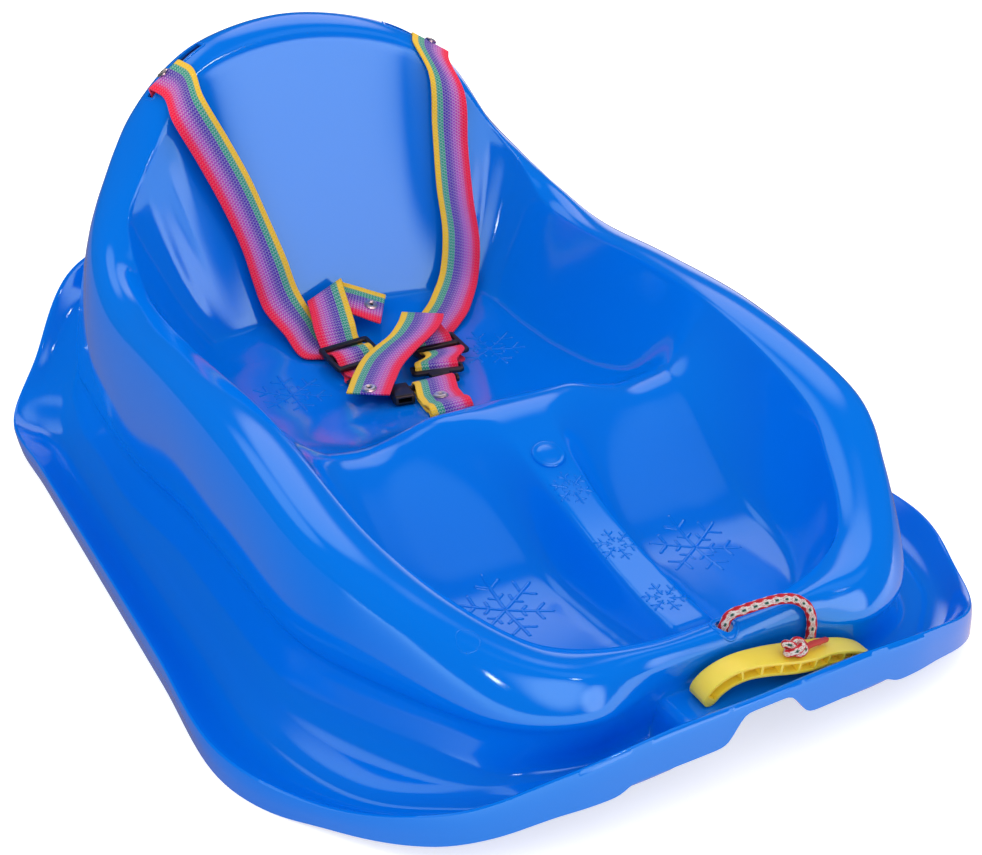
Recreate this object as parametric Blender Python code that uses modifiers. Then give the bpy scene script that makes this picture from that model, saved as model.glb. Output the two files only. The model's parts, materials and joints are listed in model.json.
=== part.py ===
"""Moulded plastic child sled with a webbing harness and a tow handle.

Metres, +Z up, the front faces -Y, the ground is Z = 0 and the sled is
mirrored in X = 0. The tables below are in millimetres.
"""

import math

import bmesh
import bpy
import numpy as np
from mathutils import Matrix, Vector
from mathutils.bvhtree import BVHTree

MM = 0.001

# ---------------------------------------------------------------- hull sizes
# Each table runs over half the sled, from the middle of the front (row 0)
# to the middle of the back (row 14): x, y, z.
SEAT_OUTLINE = [(0, -273.5), (42.5, -270), (71, -258.5), (89.5, -242), (102.5, -216.5), (109, -181.5), (114, -100.5), (113, -15), (113, 61), (111.5, 103.5), (109, 127.5), (102.5, 143.5), (78, 151), (42.5, 154), (0, 155)]
RIM_INNER = [(0, -287.5, 63.5), (42.5, -285, 64), (77.5, -276, 68.5), (100.5, -261, 77.5), (122.5, -225.5, 93), (138.5, -185, 111.5), (147, -96, 136), (153.5, -5.5, 143.5), (155, 75, 147), (152, 122.5, 156.5), (148, 152, 185), (133, 163.5, 210), (110, 167, 240.5), (71, 184.5, 272.5), (0, 192, 285)]
RIM_CROWN = [(0, -297.5, 65), (42.5, -298, 67.5), (81, -289.5, 71.5), (108.5, -271.5, 80.5), (135, -235, 97.5), (156, -190, 117), (163, -96, 139.5), (167, -4, 147), (168.5, 80, 150.5), (167.5, 133, 166.5), (157.5, 168, 188.5), (137, 193, 219), (111.5, 194, 260.5), (68, 207, 289), (0, 214.5, 301)]
RIM_OUTER = [(0, -301.8, 58.2), (44.5, -302, 59.5), (82.5, -301, 69), (116, -281, 77.5), (146.5, -243, 94), (170, -194, 113.5), (177, -96, 134.5), (180.5, -1, 141), (181.5, 82.5, 144.5), (178.5, 140, 157), (168, 181, 175), (149, 206, 202), (120, 217, 243), (72, 226, 276.5), (0, 231, 290)]
STEP = [(0, -301, 48), (42.5, -301.5, 48), (83.5, -310, 48.5), (120.5, -290, 48.5), (148, -240.5, 48.5), (172, -172, 48.5), (175, -86.5, 48.5), (176, -5.5, 48.5), (183, 80, 48.5), (182.5, 151, 48.5), (180.5, 213, 49.5), (175, 260.5, 58), (140.5, 271.5, 91), (76, 275.5, 113), (0, 277.5, 119.5)]
TUB_FOOT = [(0, -300.8, 30), (42.5, -301, 30), (87.5, -302, 24), (127.5, -284, 18), (156, -238.5, 14), (178, -172, 14), (182, -86.5, 14), (183, -5.5, 14), (188, 80, 14), (187.5, 151, 15), (186, 213, 20), (178.5, 274.5, 34), (144.5, 287, 79), (76, 291.5, 103.5), (0, 293.5, 110)]
RUNNER_STEP = [(0, -323.6, 30), (42.5, -323.4, 30), (93, -319.5, 24), (138.5, -286.5, 18), (174.5, -248.5, 14), (193.5, -181.5, 14), (194.5, -96, 14), (194.5, -5.5, 14), (194.5, 89.5, 14), (193.5, 175, 14.5), (190, 246, 20), (180, 287, 43.5), (145.5, 294.5, 91), (76, 300, 111), (0, 302, 117)]
LIP = [(0, -329.5, 45.5), (57, -329, 45.5), (109, -325.5, 40.5), (157, -307, 28), (198, -258.5, 16.5), (227.5, -195.5, 20), (228.5, -100.5, 22.5), (228.5, -5.5, 22), (228.5, 89.5, 21), (228.5, 184.5, 20), (228, 271.5, 21.5), (199, 307.5, 53), (157.5, 317.5, 116), (81, 327, 136.5), (0, 329.9, 139)]

# Height of the floor along y: down in the leg wells, and along the middle
# ridge. Behind the hump both are the seat.
WELL_PROFILE = [(-291, 35.6), (-243, 35.6), (-196, 37.5), (-167, 45), (-143.5, 60), (-118, 81), (-99, 93.5), (-87.5, 97.5), (-78, 96), (-64.5, 88), (-49.5, 81), (-29.5, 76), (4, 71.7), (42, 70.3), (80, 73.5), (118, 82.5), (141.5, 92), (165, 105.5)]
RIDGE_PROFILE = [(-291, 47.5), (-273.5, 48.5), (-269.5, 52.4), (-246, 55), (-201.5, 65), (-157, 80), (-132, 90.7), (-112, 100.7), (-97, 107.8), (-87.5, 109.7), (-78, 107.8), (-64.5, 96), (-49.5, 84.6), (-29.5, 77), (4, 71.7), (42, 70.3), (80, 73.5), (118, 82.5), (141.5, 92), (165, 105.5)]
RIDGE_HALF_WIDTH = [(-291, 10.6), (-177, 10.6), (-143.5, 12.0), (-124.5, 14.5), (-108, 20.5), (-97, 36), (-87.5, 47.5)]
RIDGE_FLANK = [(-291, 19), (-177, 20), (-124.5, 27), (-108, 44), (-87.5, 57)]
SEAT_SIDE_RISE = 5.5

# Height of the skirt's lower edge: over |x| along the front, and over the
# row number round the side and back.
SKIRT_FRONT = [(0, 39.4), (12.8, 39.4), (16.6, 36.5), (22.3, 27), (28.5, 25.5), (75, 25.5), (83, 21.5), (109, 20.5), (142.5, 14.5), (176, 7), (198, 3.5), (228, 0)]
SKIRT_BACK = [(4.2, 0), (9, 0), (10, 2), (10.5, 10), (11, 29.5), (12, 91), (13, 112), (14, 116)]

# The shelf that the handle lies on, in the middle of the front, and the
# deeper pockets at its ends for the hooks of the handle.
SHELF_HEIGHT = 39.2
SHELF_END = (43.2, 46.6)
POCKET_HEIGHT = 21.2
POCKET_END = (96, 122)

WALL = 1.8
RIM_LIFT = [(0, 0.6), (5, 1.2), (9, 2), (12, 3), (14, 2.5)]
GUTTER_DEPTH = 6.2

# ------------------------------------------------------- openings in the hull
SLOT_ENDS = ((113, 191.5, 260), (70, 204.5, 287))  # along the rolled rim, each side
SLOT_WIDTH = 6
SLOT_REACH = 17.2  # from the outer end to the middle of the strap
CROTCH_SLOT = (1, -9.4, 73)
CROTCH_SLOT_SIZE = (32.5, 5.6, 24)
ROPE_HOLE = (0, -294.5, 66)
ROPE_HOLE_DIAMETER = 9

# ---------------------------------------------------------------- harness
STRAP_WIDTH = 30
STRAP_THICK = 1.4
GAP = 0.35
REST = STRAP_THICK / 2 + GAP  # middle of a strap over what it lies on

SLIDER_SIZE = (39, 30, 3)
SLIDER_WINDOW = (31.6, 9)
SLIDER_BAR = 4  # the middle bar; the windows lie on both sides of it
SLIDER_LEFT = ((-22, 95, 84.6), (1, 0.09, 0.02), (0.10, -0.965, -0.245))
SLIDER_RIGHT = ((36, 82, 81.6), (1, 0.03, 0.0), (-0.03, -0.985, -0.13))

TONGUE_THICK = 2.6
TONGUE_BAR = 2.8
TONGUE_LEFT = ((-22, 68.5, 77.4), (0.975, 0.2, 0), (0.2, -0.975, -0.09))
TONGUE_RIGHT = ((24, 59, 76.6), (0.96, -0.28, 0), (-0.28, -0.96, -0.10))
LOOP = 3.05  # middle of a strap round a bar

SOCKET_BODY = ((-15.8, 31.5, 75.2), (14, 23, 7), -11)
SOCKET_BAR = ((11, 37, 75.0), 2.0)

# Webbing from slot to tail, as pairs: outer (red) edge, inner (yellow) edge.
SHOULDER_LEFT = [((-107, 160, 246), (-82, 170, 258)), ((-95, 158, 217), (-69, 168, 229)), ((-84, 157, 184), (-56, 166, 202)), ((-73, 155, 153), (-48, 162, 171)), ((-69, 151, 130), (-41, 155, 142)), ((-65, 146, 111), (-37, 151, 120)), ((-57, 131, 96), (-31, 142, 101)), ((-52, 112, 83.4), (-27, 126, 88.2))]
SHOULDER_RIGHT = [((111, 158, 236), (82, 170, 256)), ((107, 154, 199), (82, 164, 216)), ((106, 149, 161), (80, 157, 174)), ((106, 144, 128), (80, 150, 138)), ((100, 138, 103), (73, 145, 112)), ((84, 121, 91), (61, 137, 97))]
TAIL_LEFT = [((-38, 121, 97), (-9, 119, 97)), ((-36, 130, 103), (-7, 131, 106)), ((-34, 141, 110.5), (-5.5, 145, 121.5))]
TAIL_LEFT_FOLDED = [((-31, 145, 109), (-3.5, 149, 119.5)), ((-18, 139, 104.5), (1.5, 148.5, 116.5)), ((-5, 130, 100), (7.5, 148, 113.5)), ((3, 121, 96.8), (18, 145.5, 108.5)), ((9.5, 116, 94), (27, 143, 104.5))]
TAIL_RIGHT = [((50, 103, 92.5), (22, 112, 93)), ((50, 98, 98), (24.5, 110, 100.5)), ((43, 86, 97), (18, 101, 99.5)), ((33, 77, 93.5), (4, 90, 95)), ((14, 66, 90.5), (-10, 82, 91)), ((-3, 53.5, 87), (-22, 75, 88)), ((-16, 39, 83), (-36, 60, 84.5)), ((-28, 22, 80.6), (-50.5, 41, 80.6))]
CROTCH_TOP = [(1, -10.4, 71.4), (1, -10.3, 74.5), (1.2, -7.0, 77.6), (2, 0, 77.2), (3.2, 6.5, 75.0), (4.4, 13, 75.0), (5.6, 19.5, 75.0), (8, 27, 77.4)]
CROTCH_UNDER = [(8, 27, 71.9), (5.6, 19.5, 73.0), (4.4, 13, 73.0), (3.2, 6.5, 73.0), (2, 0, 73.4), (1, -7.0, 74.2), (1, -8.4, 71.4)]
CROTCH_RIVET = (4.4, 13)

# ---------------------------------------------------------------- tow handle
HANDLE_PLACE = ((29.2, -314.2, 51.9), (0.979, -0.035, -0.195), (0.16, -0.07, 0.985))
HANDLE_DEPTH = 12
# Middle line and half thickness of the bar, one half.
HANDLE_LINE = [(0, -3.7, 3.6), (22, -4.4, 3.6), (34, -6.2, 3.7), (43.2, -9.8, 3.9), (49.0, -14.4, 4.0), (51.2, -18.0, 3.7), (51.7, -19.9, 2.6), (51.8, -20.8, 1.0)]
HANDLE_WALL = 1.4
# Ribs between the open cells, along the bar from its middle.
HANDLE_RIBS = (-35.8, -25.5, -15.3, -5.1, 5.1, 15.3, 25.5, 35.8)
HANDLE_CELL_DEPTH = 4.2
# Left foot stands on the shelf, right foot in the pocket beside it.
HANDLE_LEGS = (1.05, 0.945)
# Front edge of the bar seen from above: along, ahead of the middle line.
HANDLE_FRONT = [(-70, 6), (-42, 6), (-34, 6.4), (-27, 7.2), (-20, 8.4), (-14, 9.5), (-8, 10.1), (0, 10.2), (4, 9.9), (8, 9.2), (12, 8.2), (15, 7.4), (18, 7.0), (30, 6.7), (70, 6)]

ROPE_DIAMETER = 5.2
ROPE_PATH = [(44.3, -305.5, 45.2), (45.2, -305.5, 50), (45.6, -305.2, 57), (43.8, -304.2, 64), (38, -302.6, 69.8), (28.5, -301.9, 73.2), (18, -300.8, 73.6), (8.6, -298.6, 72.2), (2.4, -295.8, 69.6), (0, -294.4, 64), (0, -294, 54), (0, -290, 38), (0, -280.5, 22), (-1.5, -268, 11), (-8.5, -256.5, 5.4), (-17.5, -244.5, 3.4), (-22, -237.2, 3.0)]
COIL_CENTRE = (0, -205)
COIL_RADII = (23.8, 34.8)
COIL_HEIGHT = 11.2
STOPPER_AT = (15.4, 4.2)

RIVET_HEAD = 5.0
SLOT_RIVET_HEAD = 4.4
SLOT_RIVET_TAIL = 2.6
RIVET_SHANK = 1.9
RIVET_HOLE = 2.3


# ------------------------------------------------------------------ helpers
def clear_scene():
    for obj in list(bpy.data.objects):
        bpy.data.objects.remove(obj, do_unlink=True)
    for collection in list(bpy.data.collections):
        bpy.data.collections.remove(collection)


def new_collection(name):
    collection = bpy.data.collections.new(name)
    bpy.context.scene.collection.children.link(collection)
    return collection


def material(name, colour, rough, metallic=0.0, coat=0.0):
    made = bpy.data.materials.new(name)
    made.use_nodes = True
    shader = made.node_tree.nodes["Principled BSDF"]
    shader.inputs["Base Color"].default_value = (*colour, 1)
    shader.inputs["Roughness"].default_value = rough
    shader.inputs["Metallic"].default_value = metallic
    shader.inputs["Coat Weight"].default_value = coat
    made.diffuse_color = (*colour, 1)
    return made


def mesh_object(name, points, faces, look, collection, smooth=True, shell=False):
    mesh = bpy.data.meshes.new(name)
    mesh.from_pydata([tuple(map(float, p)) for p in points], [], faces)
    mesh.validate()
    bm = bmesh.new()
    bm.from_mesh(mesh)
    if shell:
        bmesh.ops.remove_doubles(bm, verts=bm.verts, dist=1e-6)
    else:
        bmesh.ops.recalc_face_normals(bm, faces=bm.faces)
        if bm.calc_volume(signed=True) < 0:
            bmesh.ops.reverse_faces(bm, faces=bm.faces)
    bm.to_mesh(mesh)
    bm.free()
    for face in mesh.polygons:
        face.use_smooth = smooth
    obj = bpy.data.objects.new(name, mesh)
    if look:
        mesh.materials.append(look)
    collection.objects.link(obj)
    return obj


def loop_spline(table, t):
    """Smooth curve through a half-loop table, mirrored at both ends."""
    rows = np.array(table, float)
    if rows.shape[1] == 2:
        rows = np.column_stack([rows, np.zeros(len(rows))])
    flip = rows * [-1, 1, 1]
    q = np.vstack([flip[1:2], rows, flip[-2:-1]])
    i = np.clip(np.floor(t).astype(int), 0, len(rows) - 2)
    f = (t - i)[:, None]
    a, b, c, d = q[i], q[i + 1], q[i + 2], q[i + 3]
    return 0.5 * (2 * b + (c - a) * f + (2 * a - 5 * b + 4 * c - d) * f**2 + (3 * b - a - 3 * c + d) * f**3)


def profile(table, x):
    """Curve through a two-column table that never overshoots its rows."""
    xs, ys = np.array(table, float).T
    x = np.clip(np.asarray(x, float), xs[0], xs[-1])
    step = np.diff(xs)
    slope = np.diff(ys) / step
    bend = np.zeros(len(xs))
    both = slope[:-1] * slope[1:] > 0
    total = np.where(both, slope[:-1] + slope[1:], 1)
    bend[1:-1] = np.where(both, 2 * slope[:-1] * slope[1:] / total, 0)
    bend[0], bend[-1] = slope[0], slope[-1]
    i = np.clip(np.searchsorted(xs, x) - 1, 0, len(xs) - 2)
    u = (x - xs[i]) / step[i]
    return ys[i] * (1 + 2 * u) * (1 - u) ** 2 + step[i] * bend[i] * u * (1 - u) ** 2 + ys[i + 1] * u * u * (3 - 2 * u) + step[i] * bend[i + 1] * u * u * (u - 1)


def smooth_step(a, b, x):
    x = np.clip((x - a) / (b - a), 0, 1)
    return x * x * (3 - 2 * x)


def unit(v):
    return v / np.maximum(np.linalg.norm(v, axis=-1, keepdims=True), 1e-9)


# --------------------------------------------------------------------- hull
def floor_height(x, y):
    x = np.abs(np.asarray(x, float))
    y = np.asarray(y, float)
    well = profile(WELL_PROFILE, y)
    ridge = profile(RIDGE_PROFILE, y)
    # crisp along the ridge's top edge, with a wide fillet at its foot
    k = np.clip((x - profile(RIDGE_HALF_WIDTH, y)) / profile(RIDGE_FLANK, y), 0, 1)
    off = (1 - k * k * 1.12 / (k + 0.12)) ** 2
    return well + (ridge - well) * off + SEAT_SIDE_RISE * smooth_step(80, 118, x)


def skirt_edge(t, lip):
    front = profile(SKIRT_FRONT, np.abs(lip[:, 0]))
    back = np.interp(t, *np.array(SKIRT_BACK).T)
    k = smooth_step(4.0, 4.6, t)
    return front * (1 - k) + back * k


def recess_floor(points):
    """Give the flange in front of the tub its shelf and hook pockets."""
    x = np.abs(points[:, 0])
    front = points[:, 1] < -250
    level = SHELF_HEIGHT + (POCKET_HEIGHT - SHELF_HEIGHT) * smooth_step(*SHELF_END, x)
    share = np.where(front, 1 - smooth_step(*POCKET_END, x), 0)
    points[:, 2] += (level - points[:, 2]) * share


def hull_rings(t, floor_steps=(0.16, 0.34, 0.55, 0.8)):
    """The upper surface in rings, from the middle of the floor outwards."""
    inner = loop_spline(RIM_INNER, t)
    crown = loop_spline(RIM_CROWN, t)
    outer = loop_spline(RIM_OUTER, t)
    step = loop_spline(STEP, t)
    foot = loop_spline(TUB_FOOT, t)
    riser = loop_spline(RUNNER_STEP, t)
    lip = loop_spline(LIP, t)
    edge = loop_spline(SEAT_OUTLINE, t)
    edge[:, 2] = floor_height(edge[:, 0], edge[:, 1])
    recess_floor(foot)
    recess_floor(riser)
    up = np.array([0.0, 0.0, 1.0])
    nothing = np.zeros_like(t)

    spine_y = np.interp(edge[:, 1], [-273.5, 155], [-243, 124.5])
    spine = np.column_stack([nothing, spine_y, floor_height(nothing, spine_y)])
    rings = [spine]
    for share in floor_steps:
        p = spine + (edge - spine) * share
        p[:, 2] = floor_height(p[:, 0], p[:, 1])
        rings.append(p)
    # inner wall, slightly hollowed
    wall = inner - edge
    away = unit(wall * [1, 1, 0])
    rings.append(edge + up * 1.2 + away * 0.8)
    for share, hollow in ((0.12, 2.4), (0.36, 4.5), (0.64, 3.4), (0.88, 1.0)):
        rings.append(edge + wall * share + away * hollow)
    # rolled rim
    lift = np.interp(t, *np.array(RIM_LIFT).T)[:, None] * up
    rings.append(inner)
    rings.append(inner + (crown - inner) * 0.45 + lift)
    rings.append(crown)
    rings.append(crown + (outer - crown) * 0.55 + lift)
    rings.append(outer)
    # outer wall of the tub down to the step
    down = step - outer
    swell = np.interp(t, [0, 1, 2, 4, 6, 9, 10, 12, 14], [0, 0.5, 2, 6, 9, 8, 6, 3, 3])[:, None]
    side = unit(np.column_stack([step[:, 0], np.interp(t, [0, 2, 3.5, 5, 9, 10.5, 12, 14], [-200, -160, -120, -30, 10, 100, 200, 200]), nothing]))
    for share, much in ((0.14, 0.45), (0.45, 1.0), (0.84, 0.75)):
        rings.append(outer + down * share + side * swell * much)
    rings.append(step)
    within = unit(np.column_stack([-step[:, 0], np.interp(t, [0, 2, 4, 6, 9, 11, 14], [60, 50, 30, 0, 0, -60, -100]), nothing]))
    ledge = np.interp(t, [0, 1, 2, 10, 12, 14], [0, 0.5, 4, 4, 3, 2])[:, None]
    rings.append(step + within * ledge - up * 2.6)
    rings.append(step + (foot - step) * 0.6 + within * ledge * 0.4)
    rings.append(foot + up * 1.0)
    # runner: small step down into the gutter, then up to the lip; in front
    # the flange is a tray with an upright wall instead
    deep = np.interp(t, [0, 2.1, 2.9, 9.9, 10.35, 14], [0, 0, 1, 1, 0, 0])[:, None]
    tray = (1 - smooth_step(1.75, 2.3, t))[:, None]
    out = lip - riser
    ahead = loop_spline(LIP, np.minimum(t + 0.02, 14)) - loop_spline(LIP, np.maximum(t - 0.02, 0))
    flat = unit(np.column_stack([ahead[:, 1], -ahead[:, 0], nothing]))
    rings.append(riser)
    upright = ((0.03, 0.02), (0.06, 0.08), (0.08, 0.3), (0.11, 0.56))
    sloped = ((0.11, 0.0, 0.88), (0.25, 0.06, 1.0), (0.45, 0.14, 1.0), (0.64, 0.36, 0.6))
    for (share, climb, sink), (share_2, climb_2) in zip(sloped, upright):
        p = riser + out * share
        p[:, 2:] = riser[:, 2:] + out[:, 2:] * climb - GUTTER_DEPTH * sink * deep
        q = riser + out * share_2
        q[:, 2:] = riser[:, 2:] + out[:, 2:] * climb_2
        rings.append(p + (q - p) * tray)
    rings.append(lip - flat * 4.5 - up * 1.8)
    rings.append(lip - flat * 2.1)
    rings.append(lip - up * 1.3)
    low = skirt_edge(t, lip)
    hem = lip + flat * np.interp(t, [0, 3, 4, 6, 14], [0.4, 0, -1.5, -2.8, -3.2])[:, None]
    hem[:, 2] = low
    rings.append(hem)
    for ring in rings:
        ring[[0, -1], 0] = 0
    return rings, flat


def make_hull(t, look, collection, name="hull"):
    """Half of the upper surface as an open loft, mirrored and given a wall."""
    rings, flat = hull_rings(t)
    n = len(t)
    points = np.vstack(rings)
    faces = []
    for r in range(len(rings) - 1):
        for j in range(n - 1):
            a, b, c, d = r * n + j, r * n + j + 1, (r + 1) * n + j + 1, (r + 1) * n + j
            if r == 0 and np.allclose(points[a], points[b]):
                faces.append((a, d, c))
            else:
                faces.append((a, d, c, b))
    hull = mesh_object(name, points * MM, faces, look, collection, shell=True)
    mirror = hull.modifiers.new("mirror", "MIRROR")
    mirror.use_clip = True
    mirror.merge_threshold = 0.0001
    upper = surface_of(hull)
    shell = hull.modifiers.new("wall", "SOLIDIFY")
    shell.thickness = WALL * MM
    shell.offset = -1
    shell.use_even_offset = False
    return hull, upper


HULL_STATIONS = np.array([0, 0.26, 0.36, 0.5, 0.64, 0.98, 1.06, 1.14, 1.5, 1.8, 2.1, 2.4, 2.7, 3.0, 3.3, 3.65, 4, 4.35, 4.7, 5.1, 5.5, 5.8, 6.05, 6.3, 6.6, 7, 7.5, 8.1, 8.7, 9.2, 9.6, 9.9, 10.2, 10.5, 10.8, 11.15, 11.6, 12.1, 12.6, 13.2, 14])


def cut(obj, cutter, how="DIFFERENCE"):
    modifier = obj.modifiers.new(cutter.name, "BOOLEAN")
    modifier.operation = how
    modifier.solver = "EXACT"
    modifier.object = cutter


def hide_cutter(obj, collection):
    obj.hide_render = True
    obj.display_type = "WIRE"
    for held in list(obj.users_collection):
        held.objects.unlink(obj)
    collection.objects.link(obj)
    return obj


def axes(place):
    """Origin and three square unit axes from an origin and two directions."""
    origin, first, second = (np.array(v, float) for v in place)
    second = unit(second)
    first = unit(first - second * (first @ second))
    return origin, first, second, np.cross(second, first)


def matrix(origin, x, y, z):
    m = Matrix.Identity(4)
    for i, v in enumerate((x, y, z)):
        for k in range(3):
            m[k][i] = v[k]
    for k in range(3):
        m[k][3] = origin[k] * MM
    return m


def box(name, size, place, look, collection, bevel=0.0):
    bpy.ops.mesh.primitive_cube_add(size=1)
    obj = bpy.context.active_object
    obj.name = name
    obj.data.name = name
    obj.data.transform(Matrix.Diagonal((size[0] * MM, size[1] * MM, size[2] * MM, 1)))
    obj.matrix_world = place
    return finish(obj, look, collection, bevel)


def rod(name, radius, depth, place, look, collection, sides=24, bevel=0.0):
    """Cylinder along the local Z of its place."""
    bpy.ops.mesh.primitive_cylinder_add(vertices=sides, radius=radius * MM, depth=depth * MM)
    obj = bpy.context.active_object
    obj.name = name
    obj.data.name = name
    obj.matrix_world = place
    return finish(obj, look, collection, bevel)


def finish(obj, look, collection, bevel=0.0):
    for held in list(obj.users_collection):
        held.objects.unlink(obj)
    collection.objects.link(obj)
    if look:
        obj.data.materials.append(look)
    if bevel:
        edge = obj.modifiers.new("bevel", "BEVEL")
        edge.width = bevel * MM
        edge.segments = 2
    return obj


def move_origin(obj, point):
    """Put the object's origin at a point in millimetres, shape unmoved."""
    shift = obj.matrix_world.inverted() @ (Vector(point) * MM)
    obj.data.transform(Matrix.Translation(-shift))
    obj.matrix_world = obj.matrix_world @ Matrix.Translation(shift)


def turned(name, profile_points, place, look, collection, steps=14, closed=False, flip=False):
    """Profile of (radius, height) turned round the local Z with a Screw."""
    mesh = bpy.data.meshes.new(name)
    n = len(profile_points)
    edges = [(i, i + 1) for i in range(n - 1)] + ([(n - 1, 0)] if closed else [])
    mesh.from_pydata([(r * MM, 0, h * MM) for r, h in profile_points], edges, [])
    obj = bpy.data.objects.new(name, mesh)
    obj.matrix_world = place
    collection.objects.link(obj)
    mesh.materials.append(look)
    screw = obj.modifiers.new("screw", "SCREW")
    screw.steps = screw.render_steps = steps
    screw.use_merge_vertices = True
    screw.merge_threshold = 0.00005
    screw.use_normal_calculate = True
    screw.use_normal_flip = flip
    return obj


def flat_outline(name, loops, half_thick, place, look, collection):
    curve = bpy.data.curves.new(name, "CURVE")
    curve.dimensions = "2D"
    curve.fill_mode = "BOTH"
    curve.extrude = half_thick * MM
    for loop in loops:
        spline = curve.splines.new("POLY")
        spline.points.add(len(loop) - 1)
        for point, (x, y) in zip(spline.points, loop):
            point.co = (x * MM, y * MM, 0, 1)
        spline.use_cyclic_u = True
    obj = bpy.data.objects.new(name, curve)
    obj.matrix_world = place
    collection.objects.link(obj)
    if look:
        curve.materials.append(look)
    return obj


def as_mesh(obj, collection):
    """The curve as a mesh with its caps welded, so that it can be cut."""
    bpy.context.view_layer.update()
    mesh = bpy.data.meshes.new_from_object(obj.evaluated_get(bpy.context.evaluated_depsgraph_get()))
    bm = bmesh.new()
    bm.from_mesh(mesh)
    bmesh.ops.remove_doubles(bm, verts=bm.verts, dist=1e-6)
    bmesh.ops.recalc_face_normals(bm, faces=bm.faces)
    bm.to_mesh(mesh)
    bm.free()
    name = obj.name
    made = bpy.data.objects.new(name + "_solid", mesh)
    made.matrix_world = obj.matrix_world
    collection.objects.link(made)
    bpy.data.objects.remove(obj, do_unlink=True)
    made.name = name
    made.data.name = name
    return made


def smooth_rows(rows, spacing):
    """Smooth curve through rows of numbers; even where they lie unevenly."""
    p = np.array(rows, float).reshape(len(rows), -1)
    middle = p.reshape(len(p), -1, 3).mean(axis=1)
    d = np.maximum(np.linalg.norm(np.diff(middle, axis=0), axis=1), 1e-6)
    slope = np.diff(p, axis=0) / d[:, None]
    bend = np.empty_like(p)
    bend[0], bend[-1] = slope[0], slope[-1]
    bend[1:-1] = (slope[1:] * d[:-1, None] + slope[:-1] * d[1:, None]) / (d[:-1] + d[1:])[:, None]
    out = [p[0]]
    for i in range(len(p) - 1):
        n = max(1, int(math.ceil(d[i] / spacing)))
        for u in np.arange(1, n + 1) / n:
            out.append(p[i] * (1 + 2 * u) * (1 - u) ** 2 + bend[i] * d[i] * u * (1 - u) ** 2 + p[i + 1] * u * u * (3 - 2 * u) + bend[i + 1] * d[i] * u * u * (u - 1))
    return np.array(out)


# ------------------------------------------------------------------ harness
def surface_of(obj):
    bpy.context.view_layer.update()
    return BVHTree.FromObject(obj, bpy.context.evaluated_depsgraph_get())


def clear_of(tree, row, free):
    """Shift a row of points until none is nearer than free to the surface."""
    row = np.array(row, float)
    for turn in range(4):
        worst, shift = free - 1e-3, None
        for share in (0, 0.17, 0.33, 0.5, 0.67, 0.83, 1):
            p = row[0] + (row[-1] - row[0]) * share
            where, normal, face, distance = tree.find_nearest(Vector(p * MM))
            away = np.array(Vector(p * MM) - where) / MM
            signed = distance / MM * (1 if away @ np.array(normal) > 0 else -1)
            if signed < worst:
                worst, shift = signed, np.array(normal) * (free - signed)
        if shift is None:
            break
        row = row + shift
    return row


def square_row(red, yellow, width=STRAP_WIDTH):
    red, yellow = np.array(red, float), np.array(yellow, float)
    middle, side = (red + yellow) / 2, unit(yellow - red)
    return [middle - side * width / 2, middle + side * width / 2]


def row_at(middle, side, width=STRAP_WIDTH):
    middle, side = np.array(middle, float), unit(np.array(side, float))
    return [middle - side * width / 2, middle + side * width / 2]


def round_bar(centre, side, start, up, radius, angles):
    """Rows of a strap round a bar; angles in degrees from start towards up."""
    rows = []
    for a in angles:
        r = math.radians(a)
        rows.append(row_at(centre + (start * math.cos(r) + up * math.sin(r)) * radius, side))
    return rows


def ribbon(name, rows, spacing, look, collection, columns=2):
    """A strip through its rows, with a wall: webbing."""
    fine = smooth_rows(rows, spacing).reshape(-1, 2, 3)
    points, faces = [], []
    across = columns + 1
    for red, yellow in fine:
        for c in range(across):
            points.append(red + (yellow - red) * c / columns)
    for r in range(len(fine) - 1):
        for c in range(columns):
            a = r * across + c
            faces.append((a, a + 1, a + across + 1, a + across))
    obj = mesh_object(name, np.array(points) * MM, faces, look, collection, shell=True)
    wall = obj.modifiers.new("thickness", "SOLIDIFY")
    wall.thickness = STRAP_THICK * MM
    wall.offset = 0
    return obj, fine


def slot_frame(side):
    """Middle of the strap in a shoulder slot, and its axes: along the slot to
    the inner end, down the front of the backrest, and out of the surface."""
    outer, inner = (np.array(p, float) * [side, 1, 1] for p in SLOT_ENDS)
    along = unit(inner - outer)
    return outer, inner, along


def shoulder_start(tree, side):
    outer, inner, along = slot_frame(side)
    middle = outer + along * SLOT_REACH
    facing = unit(np.array([0.3 * side, -0.58, 0.755]))
    where, normal, face, distance = tree.ray_cast(Vector((middle + facing * 20) * MM), Vector(-facing))
    top = np.array(where) / MM
    out = unit(np.array(normal) - along * (np.array(normal) @ along))
    ahead = np.cross(along, out)
    if ahead[1] > 0:
        ahead = -ahead
    return top, along, out, ahead


def strap_through_slot(tree, upper, side):
    top, along, out, ahead = shoulder_start(upper, side)
    rows = []
    for a, h in ((-11.5, -9.5), (-6.5, -7.6)):
        rows.append(clear_of(tree, row_at(top + ahead * a + out * h, along), REST + 0.2))
    for a, h in ((-2.2, -6.0), (-0.6, -4.0), (-0.1, -1.6), (0.3, 0.6), (1.6, 2.2)):
        rows.append(row_at(top + ahead * a + out * h, along))
    rows.append(clear_of(upper, row_at(top + ahead * 4.2 + out * 2.3, along), REST + 0.3))
    return rows


def through_slider(place, side, path):
    origin, long, down, up = axes(place)
    return [row_at(origin + down * a + up * h, long * side) for a, h in path]


OVER_MIDDLE = ((17.8, -2.5), (14.5, -2.75), (11.3, -2.65), (9.4, -2.1), (6.5, 0), (3.8, 2.15), (2, 2.6), (0, 2.65), (-2, 2.6), (-3.8, 2.15), (-6.5, 0), (-9.4, -2.1), (-11.3, -2.65), (-14, -2.6), (-17, -1.7))
UNDER_MIDDLE = tuple((a, -h) for a, h in OVER_MIDDLE[1:-1])


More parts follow.
